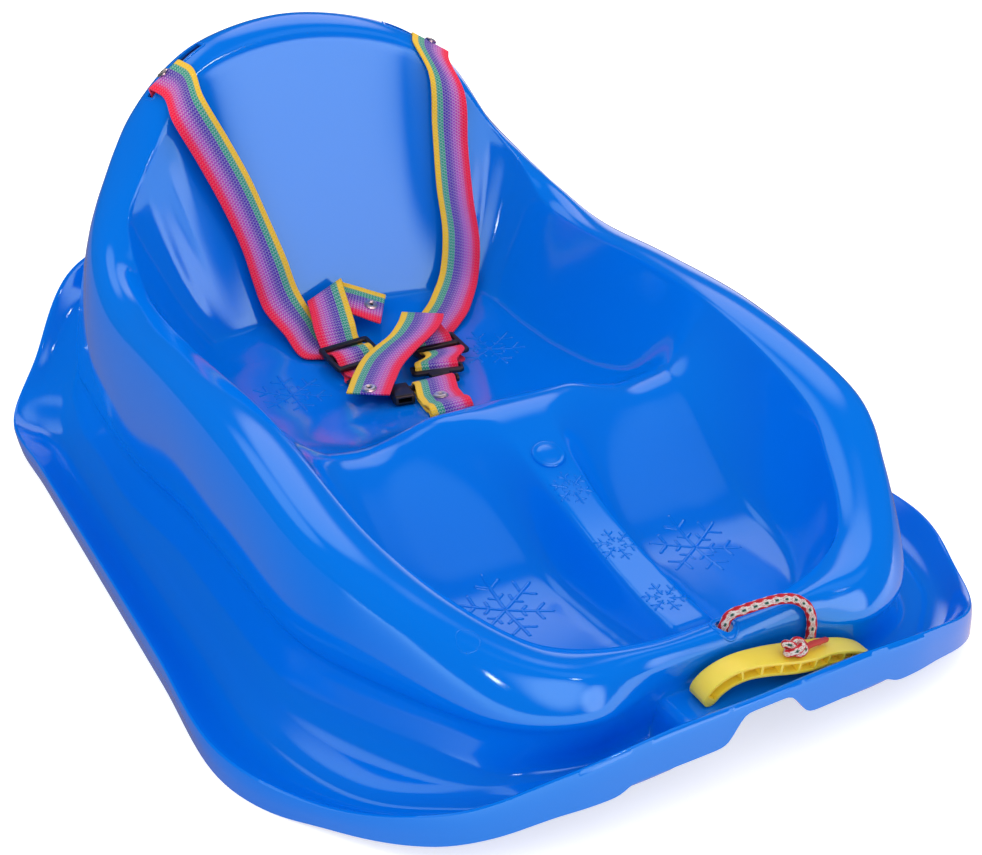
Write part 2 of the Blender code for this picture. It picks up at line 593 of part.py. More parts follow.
def cylinder_place(point, out):
    out = unit(np.array(out, float))
    side = unit(np.cross(out, [0.3, 1.0, 0.1]))
    return matrix(point, side, np.cross(out, side), out)


def rivet(name, point, out, span, look, collection, head=RIVET_HEAD, tail=4.0):
    """Headed rivet: from the head's lower face, span mm of shank below it."""
    shape = [(0, 0.75), (1.5, 0.75), (2.0, 1.35), (head - 1.4, 1.3), (head - 0.4, 0.85), (head, 0.0), (RIVET_SHANK, 0.0), (RIVET_SHANK, -span), (tail, -span), (tail, -span - 0.5), (0, -span - 0.5)]
    return turned(name, shape, cylinder_place(point, out), look, collection, flip=True)


def main():
    clear_scene()
    parts = new_collection("plastic_sled")
    cutters = new_collection("cutters")
    blue = material("blue_plastic", (0.0, 0.12, 0.75), 0.15, coat=0.5)
    black = [material("black_plastic_" + n, (0.012, 0.012, 0.014), 0.35) for n in ("slider_left", "slider_right", "tongue_left", "tongue_right", "socket")]
    web = [material("striped_webbing_" + n, (0.25, 0.12, 0.5), 0.85) for n in ("left", "right", "crotch")]
    steel = [material("rivet_metal_" + n, (0.75, 0.75, 0.72), 0.3, metallic=1.0) for n in ("tail_left", "tail_right", "crotch", "slot_left", "slot_right")]
    yellow = material("yellow_plastic", (1.0, 0.72, 0.08), 0.3)
    cord = [material("braided_rope_" + n, (0.75, 0.3, 0.32), 0.8) for n in ("line", "coil", "knot", "stopper")]

    hull, upper = make_hull(HULL_STATIONS, blue, parts)
    tree = surface_of(hull)
    hull_cutters = []

    # ---- straps
    rows_of, rivets = {}, []
    for side, shoulder, slider, tongue, tail in ((-1, SHOULDER_LEFT, SLIDER_LEFT, TONGUE_LEFT, TAIL_LEFT), (1, SHOULDER_RIGHT, SLIDER_RIGHT, TONGUE_RIGHT, TAIL_RIGHT)):
        rows = strap_through_slot(tree, upper, side)
        top, along, out, ahead = shoulder_start(upper, side)
        # flat under the rivet, then down the front
        for a in (7.5, 11.5):
            rows.append(clear_of(upper, row_at(top + ahead * a - out * 0.4, along), REST + 0.25))
        rows += [clear_of(upper, square_row(*pair), REST + 0.2) for pair in shoulder]
        origin, long, down, up = axes(slider)
        t_origin, t_long, t_down, t_up = axes(tongue)
        to_yellow = long if side < 0 else -long
        t_yellow = t_long if side < 0 else -t_long
        # first layer, under the slider to the tongue
        last = unit(np.array(shoulder[-1][1], float) - shoulder[-1][0])
        for a, h, share in ((-13, 5.0, 0.35), (0, 5.4, 0.7), (13, 6.0, 0.95)):
            turn = unit(last * (1 - share) + t_yellow * share)
            rows.append(clear_of(upper, row_at(origin + down * a - up * h, turn), REST))
        rows.append(row_at(t_origin - t_down * 7 - t_up * (LOOP + 0.1), t_yellow))
        rows += round_bar(t_origin, t_yellow, t_down, t_up, LOOP, (-100, -70, -40, -10, 20, 50, 80, 105))
        # second layer, back through the slider
        path = OVER_MIDDLE if side < 0 else UNDER_MIDDLE
        rows += through_slider(slider, 1 if side < 0 else -1, path)
        rows += [square_row(*pair) for pair in tail[:-1]] + [tail[-1]]
        if side < 0:
            fold = [np.array(p, float) for p in tail[-1]]
            rows.append([p + np.array([0.8, 2.4, 0.5]) for p in fold])
            rows += [[np.array(p, float) for p in pair] for pair in TAIL_LEFT_FOLDED]
        name = "left" if side < 0 else "right"
        strap, fine = ribbon("webbing_" + name, rows, 7.5, web[0 if side < 0 else 1], parts)
        rows_of[name] = fine
        # rivet at the slot, through the turn of the strap and the hull
        spot = top + ahead * 1.6 + out * 2.2
        middles = fine.mean(axis=1)
        i = 1 + int(np.argmin(np.linalg.norm(middles[1:14] - spot, axis=1)))
        red, gold = fine[i]
        lengthwise = unit(middles[i + 1] - middles[i - 1])
        facing = unit(np.cross(gold - red, lengthwise))
        facing = facing if facing[2] > 0 else -facing
        point = middles[i]
        where, normal, face, distance = upper.ray_cast(Vector(point * MM), Vector(-facing))
        head = STRAP_THICK / 2 + GAP + 0.15
        slant = max(0.5, np.array(normal) @ facing)
        through = distance / MM + WALL / slant + SLOT_RIVET_TAIL * math.sqrt(1 / slant**2 - 1) + 1.8
        rivets.append(rivet("rivet_slot_" + name, point + facing * head, facing, head + through, steel[3 if side < 0 else 4], parts, head=SLOT_RIVET_HEAD, tail=SLOT_RIVET_TAIL))
        hole = hide_cutter(rod("rivet_hole_" + name, RIVET_HOLE, 26, cylinder_place(point, facing), None, cutters, 14), cutters)
        hull_cutters.append(hole)
        cut(strap, hole)
        # rivet near the end of the tail
        i = -2 if side > 0 else -3
        red, gold = fine[i]
        middle = (red + gold) / 2
        lengthwise = unit(fine[i + 1].mean(axis=0) - fine[i - 1].mean(axis=0))
        facing = unit(np.cross(gold - red, lengthwise))
        facing = facing if facing[2] > 0 else -facing
        head = STRAP_THICK / 2 + GAP
        rivets.append(rivet("rivet_tail_" + name, middle + facing * head, facing, 2 * head, steel[0 if side < 0 else 1], parts))
        hole = hide_cutter(rod("tail_hole_" + name, RIVET_HOLE, 9, cylinder_place(middle, facing), None, cutters, 16), cutters)
        cut(strap, hole)

    # ---- shoulder slots
    for side, name in ((-1, "left"), (1, "right")):
        outer, inner, along = slot_frame(side)
        top, along, out, ahead = shoulder_start(upper, side)
        length = np.linalg.norm(inner - outer)
        middle = top + along * (length / 2 - SLOT_REACH)
        slot = box("slot_" + name, (length, SLOT_WIDTH, 15), matrix(middle, along, np.cross(out, along), out), None, cutters)
        hull_cutters.insert(0, hide_cutter(slot, cutters))

    # ---- crotch strap
    bar, bar_radius = np.array(SOCKET_BAR[0], float), SOCKET_BAR[1]
    side = np.array([1.0, 0.0, 0.0])
    loop = bar_radius + REST
    rows = [row_at(p, -side) for p in ((1, -27, 72.2), (1, -17, 71.0), (1, -12.3, 69.6))]
    rows += [row_at(p, -side) for p in CROTCH_TOP]
    rows += round_bar(bar, -side, np.array([0, 1.0, 0]), np.array([0, 0, 1.0]), loop, (100, 70, 40, 10, -20, -50, -80, -100))
    rows += [clear_of(upper, row_at(p, -side), REST) if p[1] > -5 else row_at(p, -side) for p in CROTCH_UNDER]
    rows += [row_at(p, -side) for p in ((1, -7.0, 69.4), (1, -3, 68.4), (1, 8, 67.6))]
    crotch, fine = ribbon("crotch_strap", rows, 6, web[2], parts)
    hull_cutters.append(hide_cutter(box("crotch_slot", CROTCH_SLOT_SIZE, Matrix.Translation(Vector(CROTCH_SLOT) * MM), None, cutters), cutters))
    z_top, z_low = (next(p[2] for p in table if p[:2] == CROTCH_RIVET) for table in (CROTCH_TOP, CROTCH_UNDER))
    x = CROTCH_RIVET[0]
    head = z_top + STRAP_THICK / 2 + GAP
    span = head - (z_low - STRAP_THICK / 2 - 0.12)
    rivets.append(rivet("rivet_crotch", (x, CROTCH_RIVET[1], head), (0, 0, 1), span, steel[2], parts, tail=3.2))
    hole = hide_cutter(rod("crotch_hole", RIVET_HOLE, 12, cylinder_place((x, CROTCH_RIVET[1], z_top - 2), (0, 0, 1)), None, cutters, 16), cutters)
    cut(crotch, hole)

    # ---- rope hole
    hull_cutters.append(hide_cutter(rod("rope_hole", ROPE_HOLE_DIAMETER / 2, 20, Matrix.Translation(Vector(ROPE_HOLE) * MM), None, cutters, 24), cutters))
    for cutter in hull_cutters:
        cut(hull, cutter)

    # ---- sliders
    for name, place, look in (("slider_left", SLIDER_LEFT, black[0]), ("slider_right", SLIDER_RIGHT, black[1])):
        origin, long, down, up = axes(place)
        frame = matrix(origin, long, np.cross(up, long), up)
        body = box(name, SLIDER_SIZE, frame, look, parts, bevel=0.7)
        for k in (-1, 1):
            shift = (SLIDER_BAR + SLIDER_WINDOW[1]) / 2 * k
            window = box(name + "_window_" + ("a" if k < 0 else "b"), (SLIDER_WINDOW[0], SLIDER_WINDOW[1], 8), matrix(origin + down * shift, long, np.cross(up, long), up), None, cutters)
            cut(body, hide_cutter(window, cutters))

    # ---- tongues: outline with the strap's window, hinged on the bar
    for name, place, look, plug in (("tongue_left", TONGUE_LEFT, black[2], 19), ("tongue_right", TONGUE_RIGHT, black[3], 15)):
        origin, long, down, up = axes(place)
        half, rear, front = 18.2, -TONGUE_BAR / 2, 10.2
        outline = [(-half, rear), (half, rear), (half, front - 2), (half - 2, front), (7, front), (7, plug - 2), (5.5, plug), (-5.5, plug), (-7, plug - 2), (-7, front), (-half + 2, front), (-half, front - 2)]
        window = [(-15.9, TONGUE_BAR / 2), (15.9, TONGUE_BAR / 2), (15.9, 5.6), (-15.9, 5.6)]
        flat_outline(name, [outline, window], TONGUE_THICK / 2, matrix(origin, long, down, -up), look, parts)

    # ---- socket: body, with the bar that the crotch strap goes round
    centre, size, turn = SOCKET_BODY
    frame = Matrix.Translation(Vector(centre) * MM) @ Matrix.Rotation(math.radians(turn), 4, "Z")
    socket = box("buckle_socket", size, frame, black[4], parts, bevel=1.6)
    move_origin(socket, SOCKET_BAR[0])
    end = 28.5
    start = -14
    along_x = matrix(((start + end) / 2, bar[1], bar[2]), [0, 0, -1], [0, 1, 0], [1, 0, 0])
    cut(socket, hide_cutter(rod("socket_bar", bar_radius, end - start, along_x, None, cutters, 16), cutters), "UNION")
    along_x = matrix((end - 0.2, bar[1], bar[2]), [0, 0, -1], [0, 1, 0], [1, 0, 0])
    cut(socket, hide_cutter(rod("socket_bar_end", 3.0, 1.8, along_x, None, cutters, 16), cutters), "UNION")
    mouth = box("socket_mouth", (9, 18, 3), frame @ Matrix.Translation((0, -8 * MM, 0)), None, cutters)
    cut(socket, hide_cutter(mouth, cutters))

    make_handle(parts, cutters, yellow, cord)


def half_line():
    rows = np.array(HANDLE_LINE, float)
    fine = smooth_rows([(a, b, c) for a, b, c in rows], 3.0)
    return fine


def make_handle(parts, cutters, yellow, cord):
    origin, long, up = (np.array(v, float) for v in HANDLE_PLACE)
    long = unit(long)
    up = unit(up - long * (up @ long))
    back = np.cross(up, long)
    frame = matrix(origin, long, up, -back)
    half = half_line()
    left, right = half.copy(), half.copy()
    left[:, 1] = half[0, 1] + (half[:, 1] - half[0, 1]) * HANDLE_LEGS[0]
    right[:, 1] = half[0, 1] + (half[:, 1] - half[0, 1]) * HANDLE_LEGS[1]
    line = np.vstack([(left * [-1, 1, 1])[:0:-1], right])
    tangent = unit(np.gradient(line[:, :2], axis=0))
    normal = np.column_stack([-tangent[:, 1], tangent[:, 0]])
    over = line[:, :2] + normal * line[:, 2:]
    under = line[:, :2] - normal * line[:, 2:]
    outline = list(map(tuple, over)) + list(map(tuple, under[::-1]))
    reach_back, reach_ahead = HANDLE_DEPTH / 2, max(f for _, f in HANDLE_FRONT) + 1
    place = matrix(origin + back * (reach_back - reach_ahead) / 2, long, up, -back)
    handle = as_mesh(flat_outline("tow_handle", [outline], (reach_back + reach_ahead) / 2, place, yellow, parts), parts)
    plan = [(x, -f) for x, f in HANDLE_FRONT] + [(70, 30), (-70, 30)]
    swell = flat_outline("handle_plan", [plan], 45, matrix(origin, long, back, up), None, cutters)
    cut(handle, hide_cutter(as_mesh(swell, cutters), cutters), "INTERSECT")
    # open cells between ribs, cut from the front
    length = np.concatenate([[0], np.cumsum(np.linalg.norm(np.diff(half[:, :2], axis=0), axis=1))])
    reach = length[-1] - 4.5
    rib = 0.6
    ribs = (-reach - rib, *HANDLE_RIBS, reach + rib)
    for k in range(len(ribs) - 1):
        a, b = ribs[k] + rib, ribs[k + 1] - rib
        where = np.linspace(a, b, max(6, int((b - a) / 2)))
        leg = left if a + b < 0 else right
        x, y, w = (np.interp(np.abs(where), length, leg[:, i]) for i in range(3))
        x = x * np.sign(where)
        ahead = 0.4
        x2, y2 = (np.interp(np.abs(where) + ahead, length, leg[:, i]) for i in range(2))
        slope = unit(np.column_stack([x2 - np.abs(x), (y2 - y) * 1.0]))
        slope[:, 1] *= np.sign(where)
        side = np.column_stack([-slope[:, 1], slope[:, 0]])
        middle = np.column_stack([x, y])
        top = middle + side * (w - HANDLE_WALL)[:, None]
        low = middle - side * (w - HANDLE_WALL)[:, None]
        loop = list(map(tuple, top)) + list(map(tuple, low[::-1]))
        front = np.interp(np.clip((a + b) / 2, -40, 40), *zip(*HANDLE_FRONT))
        first, last = front - HANDLE_CELL_DEPTH, 13
        place = matrix(origin - back * (first + last) / 2, long, up, -back)
        cell = flat_outline("handle_cell_%02d" % k, [loop], (last - first) / 2, place, None, cutters)
        cut(handle, hide_cutter(as_mesh(cell, cutters), cutters))

    # knot on the handle, with its melted end
    spot = origin - long * 7.0 - back * 5.2 + up * (0.1 + 0.3 + 3.9)
    bpy.ops.mesh.primitive_uv_sphere_add(segments=20, ring_count=12, radius=1)
    knot = bpy.context.active_object
    knot.name = "handle_knot"
    knot.data.name = "handle_knot"
    knot.data.transform(Matrix.Diagonal((7.6 * MM, 5.2 * MM, 3.9 * MM, 1)))
    knot.matrix_world = matrix(spot, long, back, up)
    knot = finish(knot, cord[2], parts)
    tail_from, tail_to = spot + long * 4.5 - up * 1.2, spot + long * 27 - up * 1.9 + back * 6.3
    direction = unit(tail_to - tail_from)
    stub = rod("knot_end", 1.5, np.linalg.norm(tail_to - tail_from), cylinder_place((tail_from + tail_to) / 2, direction), None, cutters, 10)
    cut(knot, hide_cutter(stub, cutters), "UNION")

    # rope
    path = smooth_rows(ROPE_PATH, 9)
    curve = bpy.data.curves.new("tow_rope", "CURVE")
    curve.dimensions = "3D"
    curve.bevel_depth = ROPE_DIAMETER / 2 * MM
    curve.bevel_resolution = 2
    curve.use_fill_caps = True
    spline = curve.splines.new("POLY")
    spline.points.add(len(path) - 1)
    for point, p in zip(spline.points, path):
        point.co = (*(p * MM), 1)
    curve.materials.append(cord[0])
    rope = bpy.data.objects.new("tow_rope", curve)
    parts.objects.link(rope)

    # the rest of the rope, coiled up under the leg wells
    r1, r2 = COIL_RADII
    h = COIL_HEIGHT
    c = 2.6
    ring = [(r1, 0.3 + c), (r1 + c, 0.3), (r2 - c, 0.3), (r2, 0.3 + c), (r2, h - c), (r2 - c, h), (r1 + c, h), (r1, h - c)]
    turned("tow_rope_coil", ring, Matrix.Translation(Vector((*COIL_CENTRE, 0)) * MM), cord[1], parts, steps=32, closed=True)
    bpy.ops.mesh.primitive_uv_sphere_add(segments=16, ring_count=10, radius=1)
    stop = bpy.context.active_object
    stop.name = "stopper_knot"
    stop.data.name = "stopper_knot"
    stop.data.transform(Matrix.Diagonal((7 * MM, 6 * MM, 6 * MM, 1)))
    stop.matrix_world = Matrix.Translation(Vector((COIL_CENTRE[0] + STOPPER_AT[0], COIL_CENTRE[1] + STOPPER_AT[1], 6.6)) * MM)
    finish(stop, cord[3], parts)


main()
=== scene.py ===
"""Looks of the moulded child sled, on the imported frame."""
import json
import math

import bmesh
import bpy
import numpy as np
from mathutils import Matrix, Vector
from mathutils.bvhtree import BVHTree

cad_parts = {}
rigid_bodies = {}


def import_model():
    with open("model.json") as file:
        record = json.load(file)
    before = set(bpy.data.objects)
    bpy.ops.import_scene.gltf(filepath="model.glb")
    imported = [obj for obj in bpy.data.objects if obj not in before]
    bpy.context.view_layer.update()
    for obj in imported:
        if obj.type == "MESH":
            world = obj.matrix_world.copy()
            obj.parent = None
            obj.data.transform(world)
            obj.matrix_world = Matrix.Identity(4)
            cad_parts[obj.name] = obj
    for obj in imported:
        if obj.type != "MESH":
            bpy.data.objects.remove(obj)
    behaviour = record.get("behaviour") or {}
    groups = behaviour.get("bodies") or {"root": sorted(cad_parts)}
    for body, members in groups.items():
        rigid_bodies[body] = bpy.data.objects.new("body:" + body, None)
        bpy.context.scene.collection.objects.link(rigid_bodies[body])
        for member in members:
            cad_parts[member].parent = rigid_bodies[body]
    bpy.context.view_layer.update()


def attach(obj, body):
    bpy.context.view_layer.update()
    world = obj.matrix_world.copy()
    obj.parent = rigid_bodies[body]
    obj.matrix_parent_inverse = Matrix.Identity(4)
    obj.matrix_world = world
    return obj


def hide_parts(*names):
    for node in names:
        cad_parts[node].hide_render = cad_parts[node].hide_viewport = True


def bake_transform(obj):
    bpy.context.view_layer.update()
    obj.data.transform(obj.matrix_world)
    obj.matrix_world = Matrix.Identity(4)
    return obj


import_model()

SCENE = bpy.context.scene.collection


# Tables and shapes in millimetres, as in the part. Each table runs over half
# the sled, from the middle of the front (row 0) to the middle of the back.
MM = 0.001

# ---------------------------------------------------------------- hull sizes
# Each table runs over half the sled, from the middle of the front (row 0)
# to the middle of the back (row 14): x, y, z.
SEAT_OUTLINE = [(0, -273.5), (42.5, -270), (71, -258.5), (89.5, -242), (102.5, -216.5), (109, -181.5), (114, -100.5), (113, -15), (113, 61), (111.5, 103.5), (109, 127.5), (102.5, 143.5), (78, 151), (42.5, 154), (0, 155)]
RIM_INNER = [(0, -287.5, 63.5), (42.5, -285, 64), (77.5, -276, 68.5), (100.5, -261, 77.5), (122.5, -225.5, 93), (138.5, -185, 111.5), (147, -96, 136), (153.5, -5.5, 143.5), (155, 75, 147), (152, 122.5, 156.5), (148, 152, 185), (133, 163.5, 210), (110, 167, 240.5), (71, 184.5, 272.5), (0, 192, 285)]
RIM_CROWN = [(0, -297.5, 65), (42.5, -298, 67.5), (81, -289.5, 71.5), (108.5, -271.5, 80.5), (135, -235, 97.5), (156, -190, 117), (163, -96, 139.5), (167, -4, 147), (168.5, 80, 150.5), (167.5, 133, 166.5), (157.5, 168, 188.5), (137, 193, 219), (111.5, 194, 260.5), (68, 207, 289), (0, 214.5, 301)]
RIM_OUTER = [(0, -301.8, 58.2), (44.5, -302, 59.5), (82.5, -301, 69), (116, -281, 77.5), (146.5, -243, 94), (170, -194, 113.5), (177, -96, 134.5), (180.5, -1, 141), (181.5, 82.5, 144.5), (178.5, 140, 157), (168, 181, 175), (149, 206, 202), (120, 217, 243), (72, 226, 276.5), (0, 231, 290)]
STEP = [(0, -301, 48), (42.5, -301.5, 48), (83.5, -310, 48.5), (120.5, -290, 48.5), (148, -240.5, 48.5), (172, -172, 48.5), (175, -86.5, 48.5), (176, -5.5, 48.5), (183, 80, 48.5), (182.5, 151, 48.5), (180.5, 213, 49.5), (175, 260.5, 58), (140.5, 271.5, 91), (76, 275.5, 113), (0, 277.5, 119.5)]
TUB_FOOT = [(0, -300.8, 30), (42.5, -301, 30), (87.5, -302, 24), (127.5, -284, 18), (156, -238.5, 14), (178, -172, 14), (182, -86.5, 14), (183, -5.5, 14), (188, 80, 14), (187.5, 151, 15), (186, 213, 20), (178.5, 274.5, 34), (144.5, 287, 79), (76, 291.5, 103.5), (0, 293.5, 110)]
RUNNER_STEP = [(0, -323.6, 30), (42.5, -323.4, 30), (93, -319.5, 24), (138.5, -286.5, 18), (174.5, -248.5, 14), (193.5, -181.5, 14), (194.5, -96, 14), (194.5, -5.5, 14), (194.5, 89.5, 14), (193.5, 175, 14.5), (190, 246, 20), (180, 287, 43.5), (145.5, 294.5, 91), (76, 300, 111), (0, 302, 117)]
LIP = [(0, -329.5, 45.5), (57, -329, 45.5), (109, -325.5, 40.5), (157, -307, 28), (198, -258.5, 16.5), (227.5, -195.5, 20), (228.5, -100.5, 22.5), (228.5, -5.5, 22), (228.5, 89.5, 21), (228.5, 184.5, 20), (228, 271.5, 21.5), (199, 307.5, 53), (157.5, 317.5, 116), (81, 327, 136.5), (0, 329.9, 139)]

# Height of the floor along y: down in the leg wells, and along the middle
# ridge. Behind the hump both are the seat.
WELL_PROFILE = [(-291, 35.6), (-243, 35.6), (-196, 37.5), (-167, 45), (-143.5, 60), (-118, 81), (-99, 93.5), (-87.5, 97.5), (-78, 96), (-64.5, 88), (-49.5, 81), (-29.5, 76), (4, 71.7), (42, 70.3), (80, 73.5), (118, 82.5), (141.5, 92), (165, 105.5)]
RIDGE_PROFILE = [(-291, 47.5), (-273.5, 48.5), (-269.5, 52.4), (-246, 55), (-201.5, 65), (-157, 80), (-132, 90.7), (-112, 100.7), (-97, 107.8), (-87.5, 109.7), (-78, 107.8), (-64.5, 96), (-49.5, 84.6), (-29.5, 77), (4, 71.7), (42, 70.3), (80, 73.5), (118, 82.5), (141.5, 92), (165, 105.5)]
RIDGE_HALF_WIDTH = [(-291, 10.6), (-177, 10.6), (-143.5, 12.0), (-124.5, 14.5), (-108, 20.5), (-97, 36), (-87.5, 47.5)]
RIDGE_FLANK = [(-291, 19), (-177, 20), (-124.5, 27), (-108, 44), (-87.5, 57)]
SEAT_SIDE_RISE = 5.5

# Height of the skirt's lower edge: over |x| along the front, and over the
# row number round the side and back.
SKIRT_FRONT = [(0, 39.4), (12.8, 39.4), (16.6, 36.5), (22.3, 27), (28.5, 25.5), (75, 25.5), (83, 21.5), (109, 20.5), (142.5, 14.5), (176, 7), (198, 3.5), (228, 0)]
SKIRT_BACK = [(4.2, 0), (9, 0), (10, 2), (10.5, 10), (11, 29.5), (12, 91), (13, 112), (14, 116)]

# The shelf that the handle lies on, in the middle of the front, and the
# deeper pockets at its ends for the hooks of the handle.
SHELF_HEIGHT = 39.2
SHELF_END = (43.2, 46.6)
POCKET_HEIGHT = 21.2
POCKET_END = (96, 122)

WALL = 1.8
RIM_LIFT = [(0, 0.6), (5, 1.2), (9, 2), (12, 3), (14, 2.5)]
GUTTER_DEPTH = 6.2

# ------------------------------------------------------- openings in the hull
SLOT_ENDS = ((113, 191.5, 260), (70, 204.5, 287))  # along the rolled rim, each side
SLOT_WIDTH = 6
SLOT_REACH = 17.2  # from the outer end to the middle of the strap
CROTCH_SLOT = (1, -9.4, 73)
CROTCH_SLOT_SIZE = (32.5, 5.6, 24)
ROPE_HOLE = (0, -294.5, 66)
ROPE_HOLE_DIAMETER = 9

# ---------------------------------------------------------------- harness
STRAP_WIDTH = 30
STRAP_THICK = 1.4
GAP = 0.35
REST = STRAP_THICK / 2 + GAP  # middle of a strap over what it lies on

SLIDER_SIZE = (39, 30, 3)
SLIDER_WINDOW = (31.6, 9)
SLIDER_BAR = 4  # the middle bar; the windows lie on both sides of it
SLIDER_LEFT = ((-22, 95, 84.6), (1, 0.09, 0.02), (0.10, -0.965, -0.245))
SLIDER_RIGHT = ((36, 82, 81.6), (1, 0.03, 0.0), (-0.03, -0.985, -0.13))

TONGUE_THICK = 2.6
TONGUE_BAR = 2.8
TONGUE_LEFT = ((-22, 68.5, 77.4), (0.975, 0.2, 0), (0.2, -0.975, -0.09))
TONGUE_RIGHT = ((24, 59, 76.6), (0.96, -0.28, 0), (-0.28, -0.96, -0.10))
LOOP = 3.05  # middle of a strap round a bar

SOCKET_BODY = ((-15.8, 31.5, 75.2), (14, 23, 7), -11)
SOCKET_BAR = ((11, 37, 75.0), 2.0)

# Webbing from slot to tail, as pairs: outer (red) edge, inner (yellow) edge.
SHOULDER_LEFT = [((-107, 160, 246), (-82, 170, 258)), ((-95, 158, 217), (-69, 168, 229)), ((-84, 157, 184), (-56, 166, 202)), ((-73, 155, 153), (-48, 162, 171)), ((-69, 151, 130), (-41, 155, 142)), ((-65, 146, 111), (-37, 151, 120)), ((-57, 131, 96), (-31, 142, 101)), ((-52, 112, 83.4), (-27, 126, 88.2))]
SHOULDER_RIGHT = [((111, 158, 236), (82, 170, 256)), ((107, 154, 199), (82, 164, 216)), ((106, 149, 161), (80, 157, 174)), ((106, 144, 128), (80, 150, 138)), ((100, 138, 103), (73, 145, 112)), ((84, 121, 91), (61, 137, 97))]
TAIL_LEFT = [((-38, 121, 97), (-9, 119, 97)), ((-36, 130, 103), (-7, 131, 106)), ((-34, 141, 110.5), (-5.5, 145, 121.5))]
TAIL_LEFT_FOLDED = [((-31, 145, 109), (-3.5, 149, 119.5)), ((-18, 139, 104.5), (1.5, 148.5, 116.5)), ((-5, 130, 100), (7.5, 148, 113.5)), ((3, 121, 96.8), (18, 145.5, 108.5)), ((9.5, 116, 94), (27, 143, 104.5))]
TAIL_RIGHT = [((50, 103, 92.5), (22, 112, 93)), ((50, 98, 98), (24.5, 110, 100.5)), ((43, 86, 97), (18, 101, 99.5)), ((33, 77, 93.5), (4, 90, 95)), ((14, 66, 90.5), (-10, 82, 91)), ((-3, 53.5, 87), (-22, 75, 88)), ((-16, 39, 83), (-36, 60, 84.5)), ((-28, 22, 80.6), (-50.5, 41, 80.6))]
CROTCH_TOP = [(1, -10.4, 71.4), (1, -10.3, 74.5), (1.2, -7.0, 77.6), (2, 0, 77.2), (3.2, 6.5, 75.0), (4.4, 13, 75.0), (5.6, 19.5, 75.0), (8, 27, 77.4)]
CROTCH_UNDER = [(8, 27, 71.9), (5.6, 19.5, 73.0), (4.4, 13, 73.0), (3.2, 6.5, 73.0), (2, 0, 73.4), (1, -7.0, 74.2), (1, -8.4, 71.4)]
CROTCH_RIVET = (4.4, 13)

# ---------------------------------------------------------------- tow handle
HANDLE_PLACE = ((29.2, -314.2, 51.9), (0.979, -0.035, -0.195), (0.16, -0.07, 0.985))
HANDLE_DEPTH = 12
# Middle line and half thickness of the bar, one half.
HANDLE_LINE = [(0, -3.7, 3.6), (22, -4.4, 3.6), (34, -6.2, 3.7), (43.2, -9.8, 3.9), (49.0, -14.4, 4.0), (51.2, -18.0, 3.7), (51.7, -19.9, 2.6), (51.8, -20.8, 1.0)]
HANDLE_WALL = 1.4
# Ribs between the open cells, along the bar from its middle.
HANDLE_RIBS = (-35.8, -25.5, -15.3, -5.1, 5.1, 15.3, 25.5, 35.8)
HANDLE_CELL_DEPTH = 4.2
# Left foot stands on the shelf, right foot in the pocket beside it.
HANDLE_LEGS = (1.05, 0.945)
# Front edge of the bar seen from above: along, ahead of the middle line.
HANDLE_FRONT = [(-70, 6), (-42, 6), (-34, 6.4), (-27, 7.2), (-20, 8.4), (-14, 9.5), (-8, 10.1), (0, 10.2), (4, 9.9), (8, 9.2), (12, 8.2), (15, 7.4), (18, 7.0), (30, 6.7), (70, 6)]

ROPE_DIAMETER = 5.2
ROPE_PATH = [(44.3, -305.5, 45.2), (45.2, -305.5, 50), (45.6, -305.2, 57), (43.8, -304.2, 64), (38, -302.6, 69.8), (28.5, -301.9, 73.2), (18, -300.8, 73.6), (8.6, -298.6, 72.2), (2.4, -295.8, 69.6), (0, -294.4, 64), (0, -294, 54), (0, -290, 38), (0, -280.5, 22), (-1.5, -268, 11), (-8.5, -256.5, 5.4), (-17.5, -244.5, 3.4), (-22, -237.2, 3.0)]
COIL_CENTRE = (0, -205)
COIL_RADII = (23.8, 34.8)
COIL_HEIGHT = 11.2
STOPPER_AT = (15.4, 4.2)

RIVET_HEAD = 5.0
SLOT_RIVET_HEAD = 4.4
SLOT_RIVET_TAIL = 2.6
RIVET_SHANK = 1.9
RIVET_HOLE = 2.3


# ------------------------------------------------------------------ helpers
def mesh_object(name, points, faces, look, collection, smooth=True, shell=False):
    mesh = bpy.data.meshes.new(name)
    mesh.from_pydata([tuple(map(float, p)) for p in points], [], faces)
    mesh.validate()
    bm = bmesh.new()
    bm.from_mesh(mesh)
    if shell:
        bmesh.ops.remove_doubles(bm, verts=bm.verts, dist=1e-6)
    else:
        bmesh.ops.recalc_face_normals(bm, faces=bm.faces)
        if bm.calc_volume(signed=True) < 0:
            bmesh.ops.reverse_faces(bm, faces=bm.faces)
    bm.to_mesh(mesh)
    bm.free()
    for face in mesh.polygons:
        face.use_smooth = smooth
    obj = bpy.data.objects.new(name, mesh)
    if look:
        mesh.materials.append(look)
    collection.objects.link(obj)
    return obj


def loop_spline(table, t):
    """Smooth curve through a half-loop table, mirrored at both ends."""
    rows = np.array(table, float)
    if rows.shape[1] == 2:
        rows = np.column_stack([rows, np.zeros(len(rows))])
    flip = rows * [-1, 1, 1]
    q = np.vstack([flip[1:2], rows, flip[-2:-1]])
    i = np.clip(np.floor(t).astype(int), 0, len(rows) - 2)
    f = (t - i)[:, None]
    a, b, c, d = q[i], q[i + 1], q[i + 2], q[i + 3]
    return 0.5 * (2 * b + (c - a) * f + (2 * a - 5 * b + 4 * c - d) * f**2 + (3 * b - a - 3 * c + d) * f**3)


